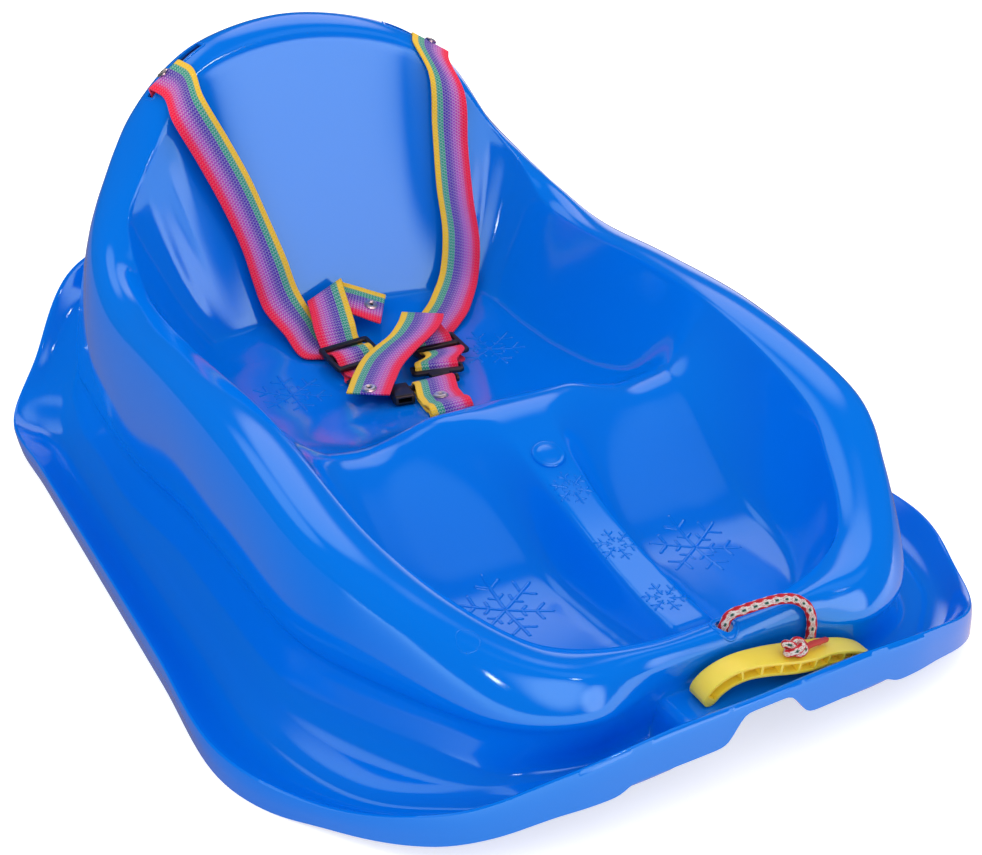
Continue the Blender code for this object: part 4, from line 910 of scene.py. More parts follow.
def knot_line(size, place, squash=1.0):
    """Tight trefoil, scaled to its three half sizes, in the place's axes."""
    t = np.linspace(0, 2 * math.pi, 260, endpoint=False)
    x = (2 + np.cos(3 * t)) * np.cos(2 * t) / 3
    y = (2 + np.cos(3 * t)) * np.sin(2 * t) / 3
    z = np.sin(3 * t)
    local = np.column_stack([x * size[0], y * size[1], z * size[2] * squash])
    return np.array([list(place @ Vector(p * MM)) for p in local]) / MM


# ------------------------------------------------------------ relief on hull
def on_surface(tree, points, cast):
    """Points dropped along cast onto the surface, with its normals there."""
    found, normals = [], []
    cast = Vector(cast).normalized()
    before = 0.35 if cast.z < -0.999 else 0.04
    for p in points:
        where, normal, face, distance = tree.ray_cast(Vector(np.array(p) * MM) - cast * before, cast)
        if where is None:
            continue
        found.append(np.array(where) / MM)
        normals.append(np.array(normal))
    return np.array(found), np.array(normals)


def strip(points, tree, cast, width, height, step=0.9, closed=False):
    """Rounded raised line laid on the surface; returns its points and faces."""
    line = [np.array(p, float) for p in points]
    if closed:
        line.append(line[0])
    fine = even(line, step)
    if closed:
        fine = fine[:-1]
    place, normal = on_surface(tree, fine, cast)
    count = len(place)
    if count < 3:
        return [], []
    if closed:
        ahead = np.roll(place, -1, axis=0) - np.roll(place, 1, axis=0)
    else:
        ahead = np.gradient(place, axis=0)
    side = unit(np.cross(normal, unit(ahead)))
    section = ((-0.62, -0.25), (-0.5, 0.0), (-0.3, 0.8), (0.0, 1.0), (0.3, 0.8), (0.5, 0.0), (0.62, -0.25))
    rows = []
    for i in range(count):
        up = 1.0
        if not closed and (i in (0, count - 1)):
            up = 0.0
        for a, h in section:
            rows.append(place[i] + side[i] * a * width * (0.6 if up == 0 else 1) + normal[i] * (h * height * up if h > 0 else h * 0.8))
    faces = []
    n = len(section)
    for i in range(count if closed else count - 1):
        j = (i + 1) % count
        for k in range(n - 1):
            faces.append((i * n + k, j * n + k, j * n + k + 1, i * n + k + 1))
        faces.append((i * n + n - 1, j * n + n - 1, j * n, i * n))
    if not closed:
        faces.append(tuple(range(n)))
        faces.append(tuple(range((count - 1) * n + n - 1, (count - 1) * n - 1, -1)))
    return rows, faces


def joined(name, pieces, look):
    points, faces = [], []
    for rows, quads in pieces:
        base = len(points)
        points += list(rows)
        faces += [tuple(v + base for v in f) for f in quads]
    mesh = bpy.data.meshes.new(name)
    mesh.from_pydata([tuple(map(float, np.array(p) * MM)) for p in points], [], faces)
    bm = bmesh.new()
    bm.from_mesh(mesh)
    bmesh.ops.recalc_face_normals(bm, faces=bm.faces)
    bm.to_mesh(mesh)
    bm.free()
    for face in mesh.polygons:
        face.use_smooth = True
    mesh.materials.append(look)
    obj = bpy.data.objects.new(name, mesh)
    SCENE.objects.link(obj)
    return obj


def flake(tree, centre, r, width, height, open_centre=False):
    """Six-armed snowflake ornament of raised lines."""
    out = []
    x, y = centre
    for k in range(6):
        a = math.radians(90 + 60 * k)
        d = np.array([math.cos(a), math.sin(a)])
        c = np.array([x, y], float)
        start = 0.28 if open_centre else 0.0
        out.append(strip([(*(c + d * r * start), 0), (*(c + d * r * 1.62), 0)], tree, (0, 0, -1), width, height))
        for turn in (-60, 60):
            b = math.radians(90 + 60 * k + turn)
            e = np.array([math.cos(b), math.sin(b)])
            for share, long in ((1.0, 0.55), (0.52, 0.34)):
                p = c + d * r * share
                out.append(strip([(*p, 0), (*(p + e * r * long), 0)], tree, (0, 0, -1), width, height))
    return [o for o in out if o[0]]


def ring_points(centre, radius, axis_x, axis_y, count=40):
    a = np.linspace(0, 2 * math.pi, count, endpoint=False)
    return [np.array(centre, float) + np.array(axis_x) * radius * math.cos(t) + np.array(axis_y) * radius * math.sin(t) for t in a]


def webbing(name, rows, look, spacing=2.2, columns=10):
    """Woven strap: finer strip with a wall, rounded edges and a weave UV."""
    fine = smooth_rows(rows, spacing).reshape(-1, 2, 3)
    across = columns + 1
    points, faces = [], []
    for red, yellow in fine:
        for c in range(across):
            points.append(red + (yellow - red) * c / columns)
    for r in range(len(fine) - 1):
        for c in range(columns):
            a = r * across + c
            faces.append((a, a + 1, a + across + 1, a + across))
    mesh = bpy.data.meshes.new(name)
    mesh.from_pydata([tuple(p * MM) for p in points], [], faces)
    middles = fine.mean(axis=1)
    run = np.concatenate([[0], np.cumsum(np.linalg.norm(np.diff(middles, axis=0), axis=1))]) / STRAP_WIDTH
    layer = mesh.uv_layers.new(name="weave")
    for loop in mesh.loops:
        r, c = divmod(loop.vertex_index, across)
        layer.data[loop.index].uv = (c / columns, run[r])
    for face in mesh.polygons:
        face.use_smooth = True
    obj = bpy.data.objects.new(name, mesh)
    SCENE.objects.link(obj)
    mesh.materials.append(look)
    wall = obj.modifiers.new("thickness", "SOLIDIFY")
    wall.thickness = STRAP_THICK * MM
    wall.offset = 0
    edge = obj.modifiers.new("edge", "BEVEL")
    edge.width = 0.42 * MM
    edge.segments = 2
    edge.limit_method = "ANGLE"
    edge.angle_limit = math.radians(55)
    bake(obj)
    soften(obj, 50)
    return obj, fine


def rounded(points, radius, steps=4):
    """Corners of an outline rounded."""
    out = []
    n = len(points)
    for i in range(n):
        p = np.array(points[i], float)
        a = np.array(points[i - 1], float) - p
        b = np.array(points[(i + 1) % n], float) - p
        r = min(radius, 0.45 * np.linalg.norm(a), 0.45 * np.linalg.norm(b))
        s, e = p + unit(a) * r, p + unit(b) * r
        for k in range(steps + 1):
            u = k / steps
            out.append(tuple(s * (1 - u) ** 2 + p * 2 * u * (1 - u) + e * u * u))
    return out


def plate(name, loops, thick, place, look, fillet=0.5):
    """Flat plate with rounded edges all round, its windows' too."""
    curve_obj = flat_outline(name, loops, thick / 2 - fillet, place, None, SCENE)
    curve = curve_obj.data
    curve.bevel_depth = fillet * MM
    curve.bevel_resolution = 2
    curve.offset = -fillet * MM
    made = bake(curve_obj)
    made.name = name
    bm = bmesh.new()
    bm.from_mesh(made.data)
    bmesh.ops.remove_doubles(bm, verts=bm.verts, dist=2e-6)
    bmesh.ops.recalc_face_normals(bm, faces=bm.faces)
    bm.to_mesh(made.data)
    bm.free()
    dress(made, look)
    return soften(made, 35)


def camera():
    data = bpy.data.cameras.new("camera")
    obj = bpy.data.objects.new("camera", data)
    az, el, roll = math.radians(-28.710), math.radians(24.067), math.radians(-2.254)
    back = Vector((math.sin(az) * math.cos(el), -math.cos(az) * math.cos(el), math.sin(el)))
    level = Vector((math.cos(az), math.sin(az), 0))
    over = back.cross(level)
    right = math.cos(roll) * level + math.sin(roll) * over
    up = -math.sin(roll) * level + math.cos(roll) * over
    m = Matrix((right, up, back)).transposed().to_4x4()
    m.translation = Vector((-0.3568, -0.7437, 0.4254))
    obj.matrix_world = m
    data.lens = 1383.55 / 982 * 36
    data.sensor_width = 36
    data.shift_x = -(513.47 - 491) / 982
    data.shift_y = (426.40 - 427.5) / 982
    data.clip_start = 0.01
    SCENE.objects.link(obj)
    bpy.context.scene.camera = obj


def studio():
    """White sweep with soft light: overhead, behind, and in front at the right."""
    scene = bpy.context.scene
    world = bpy.data.worlds.new("studio")
    scene.world = world
    world.use_nodes = True
    nodes, links = world.node_tree.nodes, world.node_tree.links
    nodes.clear()
    out = node(nodes, "ShaderNodeOutputWorld")
    where = node(nodes, "ShaderNodeTexCoord")
    total = warm = None
    for direction, inner, outer, strength, warmth in LIGHT_LOBES:
        dot = node(nodes, "ShaderNodeVectorMath", operation="DOT_PRODUCT")
        links.new(where.outputs["Generated"], dot.inputs[0])
        dot.inputs[1].default_value = Vector(direction).normalized()
        reach = node(nodes, "ShaderNodeMapRange", interpolation_type="SMOOTHSTEP")
        reach.inputs["From Min"].default_value = math.cos(math.radians(outer))
        reach.inputs["From Max"].default_value = math.cos(math.radians(inner))
        reach.inputs["To Min"].default_value = 0
        reach.inputs["To Max"].default_value = strength
        links.new(dot.outputs["Value"], reach.inputs["Value"])
        red = maths(nodes, links, "MULTIPLY", reach.outputs["Result"], warmth)
        warm = red if warm is None else maths(nodes, links, "ADD", warm, red)
        total = reach.outputs["Result"] if total is None else maths(nodes, links, "ADD", total, reach.outputs["Result"])
    total = maths(nodes, links, "ADD", total, LIGHT_DARK)
    warm = maths(nodes, links, "ADD", warm, LIGHT_DARK * 0.5)
    shade = node(nodes, "ShaderNodeCombineXYZ")
    links.new(warm, shade.inputs["X"])
    links.new(total, shade.inputs["Y"])
    links.new(total, shade.inputs["Z"])
    soft = node(nodes, "ShaderNodeBackground")
    links.new(shade.outputs["Vector"], soft.inputs["Color"])
    soft.inputs["Strength"].default_value = 1.0
    white = node(nodes, "ShaderNodeBackground")
    white.inputs["Color"].default_value = (1, 1, 1, 1)
    white.inputs["Strength"].default_value = 1.0
    even_light = node(nodes, "ShaderNodeBackground")
    even_light.inputs["Color"].default_value = (1, 1, 1, 1)
    even_light.inputs["Strength"].default_value = LIGHT_EVEN
    path = node(nodes, "ShaderNodeLightPath")
    glossy = node(nodes, "ShaderNodeMixShader")
    links.new(path.outputs["Is Glossy Ray"], glossy.inputs["Fac"])
    links.new(even_light.outputs["Background"], glossy.inputs[1])
    links.new(soft.outputs["Background"], glossy.inputs[2])
    mix = node(nodes, "ShaderNodeMixShader")
    links.new(path.outputs["Is Camera Ray"], mix.inputs["Fac"])
    links.new(glossy.outputs["Shader"], mix.inputs[1])
    links.new(white.outputs["Background"], mix.inputs[2])
    links.new(mix.outputs["Shader"], out.inputs["Surface"])
    # floor
    bpy.ops.mesh.primitive_plane_add(size=12, location=(0, 0, 0))
    floor = bpy.context.active_object
    floor.name = "floor"
    look = bpy.data.materials.new("floor_white")
    look.use_nodes = True
    nodes, links = look.node_tree.nodes, look.node_tree.links
    nodes.clear()
    out = node(nodes, "ShaderNodeOutputMaterial")
    diffuse = node(nodes, "ShaderNodeBsdfDiffuse")
    diffuse.inputs["Color"].default_value = (0.85, 0.85, 0.85, 1)
    seen = node(nodes, "ShaderNodeEmission")
    seen.inputs["Strength"].default_value = FLOOR_SEEN
    glow = node(nodes, "ShaderNodeEmission")
    glow.inputs["Color"].default_value = (1.3, 1.0, 1.0, 1)
    where = node(nodes, "ShaderNodeTexCoord")
    split = node(nodes, "ShaderNodeSeparateXYZ")
    links.new(where.outputs["Object"], split.inputs["Vector"])
    ramp = node(nodes, "ShaderNodeMapRange", interpolation_type="SMOOTHSTEP")
    ramp.inputs["From Min"].default_value = -0.15
    ramp.inputs["From Max"].default_value = -0.52
    ramp.inputs["To Min"].default_value = FLOOR_BEHIND
    ramp.inputs["To Max"].default_value = FLOOR_FRONT
    links.new(split.outputs["Y"], ramp.inputs["Value"])
    links.new(ramp.outputs["Result"], glow.inputs["Strength"])
    path = node(nodes, "ShaderNodeLightPath")
    lit = node(nodes, "ShaderNodeMixShader")
    links.new(path.outputs["Is Glossy Ray"], lit.inputs["Fac"])
    links.new(diffuse.outputs["BSDF"], lit.inputs[1])
    links.new(glow.outputs["Emission"], lit.inputs[2])
    first = node(nodes, "ShaderNodeAddShader")
    links.new(diffuse.outputs["BSDF"], first.inputs[0])
    links.new(seen.outputs["Emission"], first.inputs[1])
    mix = node(nodes, "ShaderNodeMixShader")
    links.new(path.outputs["Is Camera Ray"], mix.inputs["Fac"])
    links.new(lit.outputs["Shader"], mix.inputs[1])
    links.new(first.outputs["Shader"], mix.inputs[2])
    links.new(mix.outputs["Shader"], out.inputs["Surface"])
    floor.data.materials.append(look)
    scene.view_settings.view_transform = "Standard"
    scene.view_settings.look = "None"


# direction, bright within and dark beyond (degrees), strength, warmth
LIGHT_LOBES = (
    ((0.35, 0.52, 0.78), 11, 19, 1.3, 1.4),  # long box overhead and behind
    ((-0.18, 0.48, 0.86), 8, 17, 1.1, 1.3),
    ((0.40, -0.24, 0.88), 6, 18, 0.4, 1.1),  # overhead, to the front
    ((-0.10, -0.86, 0.50), 10, 26, 2.2, 1.6),  # front box
    ((0.62, 0.78, 0.08), 8, 18, 1.2, 1.2),  # behind at the right
    ((0.355, -0.92, 0.17), 9, 18, 2.8, 1.75),  # bright wall beyond the front
    ((-0.61, -0.65, 0.44), 1.6, 2.6, 22.0, 2.0),
    ((0.26, -0.57, 0.77), 1.6, 2.6, 22.0, 2.0),
)
LIGHT_DARK = 0.06
LIGHT_EVEN = 1.02
FLOOR_SEEN = 0.6
FLOOR_FRONT = 1.85
FLOOR_BEHIND = 0.17


def build():
    camera()
    blue = moulded("blue_plastic", (0.0, 0.188, 0.86), 0.10, grain=0.08, level=0.8, tint=(0.42, 1.0, 1.0))
    black = moulded("black_plastic", (0.008, 0.008, 0.010), 0.32, grain=0.5, scale=900)
    yellow = moulded("yellow_plastic", (1.0, 0.735, 0.060), 0.36, grain=0.3, level=0.8, depth=0.006)
    steel = metal("rivet_metal", (0.80, 0.80, 0.81), 0.42)
    # near-black for the painted shade in the rivets' hollow middles
    shade = moulded("rivet_hole_shade", (0.02, 0.02, 0.02), 0.6)
    weave = woven("striped_webbing")
    braid = braid_look("braided_rope")
    melted = moulded("melted_rope_end", (0.50, 0.035, 0.032), 0.5, grain=1.0, scale=700)

    # ---- tow rope first
    line = coil_path()
    rope = braided("tow_rope_braid", line, ROPE_DIAMETER / 2, braid)
    knot_place, spot, long, back, up = knot_frame()
    knot = braided("handle_knot_braid", knot_line((5.8, 3.8, 2.2), knot_place), 2.0, braid, closed=True, around=28)
    stop_at = Matrix.Translation(Vector((COIL_CENTRE[0] + STOPPER_AT[0], COIL_CENTRE[1] + STOPPER_AT[1], 6.6)) * MM)
    stopper = braided("stopper_knot_braid", knot_line((5.4, 4.6, 2.6), stop_at), 2.1, braid, closed=True, around=28)
    tail = melted_end(spot, long, back, up, melted)
    belongs(knot, "tow_handle", "rope", "handle_knot")
    belongs(tail, "tow_handle", "rope")
    belongs(stopper, "sled", "rope", "stopper_knot")
    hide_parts("tow_rope", "tow_rope_coil")
    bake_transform(rope)
    path = even(line, 1.5) * MM
    length = float(np.linalg.norm(np.diff(path, axis=0), axis=1).sum())
    print("rope path length", round(length, 4))

    # ---- shell
    hull, upper = make_hull_fine(blue)
    tree = surface_of(hull)
    cutters = []
    tools = bpy.data.collections.new("cutters")
    bpy.context.scene.collection.children.link(tools)
    relief = []

    for side, shoulder, slider, tongue, tail_rows in ((-1, SHOULDER_LEFT, SLIDER_LEFT, TONGUE_LEFT, TAIL_LEFT), (1, SHOULDER_RIGHT, SLIDER_RIGHT, TONGUE_RIGHT, TAIL_RIGHT)):
        name = "left" if side < 0 else "right"
        rows = strap_through_slot(tree, upper, side)
        top, along, out, ahead = shoulder_start(upper, side)
        for a in (7.5, 11.5):
            rows.append(clear_of(upper, row_at(top + ahead * a - out * 0.4, along), REST + 0.25))
        rows += [clear_of(upper, square_row(*pair), REST + 0.2) for pair in shoulder]
        origin, long_, down, up_ = axes(slider)
        t_origin, t_long, t_down, t_up = axes(tongue)
        t_yellow = t_long if side < 0 else -t_long
        last = unit(np.array(shoulder[-1][1], float) - shoulder[-1][0])
        for a, h, share in ((-13, 5.0, 0.35), (0, 5.4, 0.7), (13, 6.0, 0.95)):
            turn = unit(last * (1 - share) + t_yellow * share)
            rows.append(clear_of(upper, row_at(origin + down * a - up_ * h, turn), REST))
        rows.append(row_at(t_origin - t_down * 7 - t_up * (LOOP + 0.1), t_yellow))
        rows += round_bar(t_origin, t_yellow, t_down, t_up, LOOP, (-100, -70, -40, -10, 20, 50, 80, 105))
        rows += through_slider(slider, 1 if side < 0 else -1, OVER_MIDDLE if side < 0 else UNDER_MIDDLE)
        rows += [square_row(*pair) for pair in tail_rows[:-1]] + [tail_rows[-1]]
        if side < 0:
            fold = [np.array(p, float) for p in tail_rows[-1]]
            rows.append([p + np.array([0.8, 2.4, 0.5]) for p in fold])
            rows += [[np.array(p, float) for p in pair] for pair in TAIL_LEFT_FOLDED]
        coarse = smooth_rows(rows, 7.5).reshape(-1, 2, 3)
        strap, fine = webbing("strap_" + name, rows, weave)
        belongs(strap, "sled", "webbing", "webbing_" + name)
        # rivet at the slot
        spot_ = top + ahead * 1.6 + out * 2.2
        middles = coarse.mean(axis=1)
        i = 1 + int(np.argmin(np.linalg.norm(middles[1:14] - spot_, axis=1)))
        red, gold = coarse[i]
        lengthwise = unit(middles[i + 1] - middles[i - 1])
        facing = unit(np.cross(gold - red, lengthwise))
        facing = facing if facing[2] > 0 else -facing
        point = middles[i]
        where, normal, face, distance = upper.ray_cast(Vector(point * MM), Vector(-facing))
        head = STRAP_THICK / 2 + GAP + 0.15
        slant = max(0.5, np.array(normal) @ facing)
        through = distance / MM + WALL / slant + SLOT_RIVET_TAIL * math.sqrt(1 / slant**2 - 1) + 1.8
        eyelet("eyelet_slot_" + name, point + facing * head, facing, head + through, steel, shade, SLOT_RIVET_HEAD, SLOT_RIVET_TAIL, "rivet_slot_" + name)
        cutters.append(hide_cutter(rod("rivet_hole_" + name, RIVET_HOLE, 26, cylinder_place(point, facing), None, tools, 20), tools))
        i = -2 if side > 0 else -3
        red, gold = coarse[i]
        lengthwise = unit(coarse[i + 1].mean(axis=0) - coarse[i - 1].mean(axis=0))
        facing = unit(np.cross(gold - red, lengthwise))
        facing = facing if facing[2] > 0 else -facing
        head = STRAP_THICK / 2 + GAP
        eyelet("eyelet_tail_" + name, (red + gold) / 2 + facing * head, facing, 2 * head, steel, shade, RIVET_HEAD, 4.0, "rivet_tail_" + name)
        # slot and its raised outline
        outer, inner, along = slot_frame(side)
        top, along, out, ahead = shoulder_start(upper, side)
        span = np.linalg.norm(inner - outer)
        middle = top + along * (span / 2 - SLOT_REACH)
        slot_box = box("slot_" + name, (span, SLOT_WIDTH, 15), matrix(middle, along, np.cross(out, along), out), None, tools)
        cutters.insert(0, hide_cutter(slot_box, tools))
        b = np.cross(out, along)
        corners = [middle + along * u * (span / 2 + 1.6) + b * v * (SLOT_WIDTH / 2 + 1.5) for u, v in ((-1, -1), (1, -1), (1, 1), (-1, 1))]
        loop = [np.array(p) for p in corners]
        relief.append(strip(even([loop[0], loop[1]], 1.2), upper, -out, 1.5, 0.55))
        relief.append(strip(even([loop[2], loop[3]], 1.2), upper, -out, 1.5, 0.55))
        relief.append(strip(even([loop[1], loop[2]], 1.2), upper, -out, 1.5, 0.55))
        relief.append(strip(even([loop[3], loop[0]], 1.2), upper, -out, 1.5, 0.55))

    # ---- crotch strap
    bar, bar_radius = np.array(SOCKET_BAR[0], float), SOCKET_BAR[1]
    side = np.array([1.0, 0.0, 0.0])
    loop = bar_radius + REST
    rows = [row_at(p, -side) for p in ((1, -27, 72.2), (1, -17, 71.0), (1, -12.3, 69.6))]
    rows += [row_at(p, -side) for p in CROTCH_TOP]
    rows += round_bar(bar, -side, np.array([0, 1.0, 0]), np.array([0, 0, 1.0]), loop, (100, 70, 40, 10, -20, -50, -80, -100))
    rows += [clear_of(upper, row_at(p, -side), REST) if p[1] > -5 else row_at(p, -side) for p in CROTCH_UNDER]
    rows += [row_at(p, -side) for p in ((1, -7.0, 69.4), (1, -3, 68.4), (1, 8, 67.6))]
    crotch, fine = webbing("strap_crotch", rows, weave, spacing=1.6)
    belongs(crotch, "sled", "webbing", "crotch_strap")
    z_top, z_low = (next(p[2] for p in table if p[:2] == CROTCH_RIVET) for table in (CROTCH_TOP, CROTCH_UNDER))
    head = z_top + STRAP_THICK / 2 + GAP
    eyelet("eyelet_crotch", (CROTCH_RIVET[0], CROTCH_RIVET[1], head), (0, 0, 1), head - (z_low - STRAP_THICK / 2 - 0.12), steel, shade, RIVET_HEAD, 3.2, "rivet_crotch")

    # ---- openings
    cutters.append(hide_cutter(box("crotch_slot", CROTCH_SLOT_SIZE, Matrix.Translation(Vector(CROTCH_SLOT) * MM), None, tools), tools))
    cutters.append(hide_cutter(rod("rope_hole", ROPE_HOLE_DIAMETER / 2, 20, Matrix.Translation(Vector(ROPE_HOLE) * MM), None, tools, 32), tools))
    for cutter in cutters:
        cut(hull, cutter)
    bake(hull)
    soften(hull, 48)
    dress(hull, blue)
    print("hull faces", len(hull.data.polygons))
    belongs(hull, "sled", "blue_shell", "hull")

    # ---- ornament and raised lines
    small, large = [], []
    for centre in SMALL_FLAKES:
        small += flake(upper, centre, SMALL_FLAKE, 1.25, 0.5, open_centre=True)
    for centre in LARGE_FLAKES:
        large += flake(upper, centre, LARGE_FLAKE, 2.2, 0.5)
    belongs(joined("snowflakes_small", small, blue), "sled", "blue_shell")
    belongs(joined("snowflakes_large", large, blue), "sled", "blue_shell")
    x, y, z = ROPE_HOLE
    relief.append(strip(ring_points((x, y, z), 6.6, (1, 0, 0), (0, 1, 0)), upper, (0, 0, -1), 1.7, 0.8, closed=True))
    relief.append(strip(ring_points((*FAINT_RING, 0), 5.6, (1, 0, 0), (0, 1, 0)), upper, (0, 0, -1), 0.8, 0.12, closed=True))
    belongs(joined("raised_lines", [r for r in relief if r[0]], blue), "sled", "blue_shell")
    stud(upper, blue)

    hardware(black)
    handle(yellow)
    for cutter in list(tools.objects):
        bpy.data.objects.remove(cutter, do_unlink=True)
    bpy.data.collections.remove(tools)
    studio()


FAINT_RING = (-123.1, -266.6)
PANEL_EDGE = (104.0, 240.0, 0.07)
PANEL_STEP = 2.6


def make_hull_fine(look):
    rings, flat = hull_rings(FINE_STATIONS, FINE_FLOOR)
    t = FINE_STATIONS
    n = len(t)
    edge = 1 + len(FINE_FLOOR)
    inner, crown = rings[edge + 5], rings[edge + 7]
    # flat back panel, proud of the corners beside it
    for k in range(edge + 1, edge + 5):
        p = rings[k]
        out = unit((inner - rings[edge]) * [1, 1, 0])
        crease = PANEL_EDGE[0] + (PANEL_EDGE[1] - p[:, 2]) * PANEL_EDGE[2]
        step = smooth_step(crease - 1.0, crease + 3.2, np.abs(p[:, 0])) * smooth_step(9.2, 10.8, t)
        p += unit(p * [0.5, 0, 0] + [0, 60, 0]) * (PANEL_STEP * step)[:, None]
    # bead where the panel meets the rolled rim
    bead = smooth_step(11.2, 12.2, t)[:, None]
    lift = np.interp(t, *np.array(RIM_LIFT).T)[:, None] * np.array([0, 0, 1.0])
    extra = inner + (crown - inner) * (0.10 + 0.02 * bead) + lift * (0.35 + 0.85 * bead)
    rings.insert(edge + 6, extra)
    # tight edge where the inner wall meets the rim
    rings.insert(edge + 5, rings[edge + 4] + (inner - rings[edge + 4]) * 0.72)
    points = np.vstack(rings)
    faces = []
    for r in range(len(rings) - 1):
        for j in range(n - 1):
            a, b, c, d = r * n + j, r * n + j + 1, (r + 1) * n + j + 1, (r + 1) * n + j
            if r == 0 and np.allclose(points[a], points[b]):
                faces.append((a, d, c))
            else:
                faces.append((a, d, c, b))
    hull = mesh_object("shell", points * MM, faces, look, SCENE, shell=True)
    mirror = hull.modifiers.new("mirror", "MIRROR")
    mirror.use_clip = True
    mirror.merge_threshold = 0.0001
    smooth = hull.modifiers.new("smooth", "SUBSURF")
    smooth.levels = smooth.render_levels = 1
    bake(hull)
    upper = surface_of(hull)
    wall = hull.modifiers.new("wall", "SOLIDIFY")
    wall.thickness = WALL * MM
    wall.offset = -1
    return hull, upper


def eyelet(name, point, out, span, steel, shade, head, tail, replaced):
    """Headed rivet with a rolled rim, and a dark disc in its sunk middle as painted shade."""
    low = -span
    shape = [(0, 0.35), (1.45, 0.35), (1.7, 0.6), (1.95, 1.15), (2.35, 1.38), (head - 1.9, 1.42), (head - 1.0, 1.22), (head - 0.35, 0.75), (head, 0.12), (head - 0.1, 0.0), (RIVET_SHANK, 0.0), (RIVET_SHANK, low), (tail, low), (tail, low - 0.5), (0, low - 0.5)]
    place = cylinder_place(point, out)
    obj = turned(name, shape, place, steel, SCENE, steps=40, flip=True)
    bake(obj)
    dress(obj, steel)
    soften(obj, 50)
    belongs(obj, "sled", "rivets", replaced)
    # dark disc laid in the sunk middle: painted shade of the rivet's hollow
    dot = turned(name + "_middle", [(0, 0.47), (1.3, 0.47), (1.42, 0.36), (0, 0.36)], place, shade, SCENE, steps=24, flip=True)
    bake(dot)
    dress(dot, shade)
    belongs(dot, "sled", "rivets")


def stud(upper, blue):
    """Round boss on the ridge, with a ring groove."""
    place, normal = on_surface(upper, [(*STUD, 0)], (0, 0, -1))
    spread, tilt = on_surface(upper, [(STUD[0] + dx, STUD[1] + dy, 0) for dx, dy in ((9, 0), (-9, 0), (0, 9), (0, -9))], (0, 0, -1))
    out = unit(normal[0] + tilt.mean(axis=0))
    r = STUD_RADIUS
    shape = [(0, 1.6), (r * 0.45, 1.55), (r * 0.62, 1.3), (r * 0.7, 0.95), (r * 0.78, 1.05), (r * 0.88, 1.5), (r * 0.95, 1.4), (r, 0.7), (r + 0.4, -1.2), (0, -1.2)]
    obj = turned("stud", shape, cylinder_place(place[0], out), blue, SCENE, steps=56, flip=True)
    bake(obj)
    dress(obj, blue)
    soften(obj, 60)
    belongs(obj, "sled", "blue_shell")


def hardware(black):
    for name, place in (("slider_left", SLIDER_LEFT), ("slider_right", SLIDER_RIGHT)):
        origin, long, down, up = axes(place)
        w, h, thick = SLIDER_SIZE
        outline = rounded([(-w / 2, -h / 2), (w / 2, -h / 2), (w / 2, h / 2), (-w / 2, h / 2)], 3.2)
        loops = [outline]
        for k in (-1, 1):
            c = (SLIDER_BAR + SLIDER_WINDOW[1]) / 2 * k
            a, b = SLIDER_WINDOW[0] / 2, SLIDER_WINDOW[1] / 2
            loops.append(rounded([(-a, c - b), (a, c - b), (a, c + b), (-a, c + b)], 0.8, 2))
        body = plate(name + "_moulding", loops, thick, matrix(origin, long, np.cross(up, long), up), black, 0.75)
        belongs(body, name, "black_hardware", name)
    for name, place, plug in (("tongue_left", TONGUE_LEFT, 19), ("tongue_right", TONGUE_RIGHT, 15)):
        origin, long, down, up = axes(place)
        half, rear, front = 18.2, -TONGUE_BAR / 2, 10.2
        outline = [(-half, rear), (half, rear), (half, front - 2), (half - 2, front), (7, front), (7, plug - 2), (5.5, plug), (-5.5, plug), (-7, plug - 2), (-7, front), (-half + 2, front), (-half, front - 2)]
        window = [(-15.9, TONGUE_BAR / 2), (15.9, TONGUE_BAR / 2), (15.9, 5.6), (-15.9, 5.6)]
        body = plate(name + "_moulding", [rounded(outline, 1.0, 3), rounded(window, 0.6, 2)], TONGUE_THICK, matrix(origin, long, down, -up), black, 0.5)
        belongs(body, name, "black_hardware", name)
    centre, size, turn = SOCKET_BODY
    frame_ = Matrix.Translation(Vector(centre) * MM) @ Matrix.Rotation(math.radians(turn), 4, "Z")
    socket = box("socket_moulding", size, frame_, black, SCENE, bevel=1.6)
    socket.modifiers["bevel"].segments = 4
    bar, bar_radius = np.array(SOCKET_BAR[0], float), SOCKET_BAR[1]
    tools = []
    end, start = 28.5, -14
    place = matrix(((start + end) / 2, bar[1], bar[2]), [0, 0, -1], [0, 1, 0], [1, 0, 0])
    tools.append((rod("socket_bar", bar_radius, end - start, place, None, SCENE, 24), "UNION"))
    place = matrix((end - 0.2, bar[1], bar[2]), [0, 0, -1], [0, 1, 0], [1, 0, 0])
    tools.append((rod("socket_bar_end", 3.0, 1.8, place, None, SCENE, 24), "UNION"))
    tools.append((box("socket_mouth", (9, 18, 3), frame_ @ Matrix.Translation((0, -8 * MM, 0)), None, SCENE), "DIFFERENCE"))
    for tool, how in tools:
        tool.hide_render = True
        cut(socket, tool, how)
    bake(socket)
    for tool, how in tools:
        bpy.data.objects.remove(tool, do_unlink=True)
    dress(socket, black)
    soften(socket, 40)
    belongs(socket, "buckle_socket", "black_hardware", "buckle_socket")


def knot_frame():
    origin, long, up = (np.array(v, float) for v in HANDLE_PLACE)
    long = unit(long)
    up = unit(up - long * (up @ long))
    back = np.cross(up, long)
    spot = origin - long * 7.0 - back * 5.2 + up * (0.1 + 0.3 + 3.9)
    return matrix(spot, long, back, up), spot, long, back, up


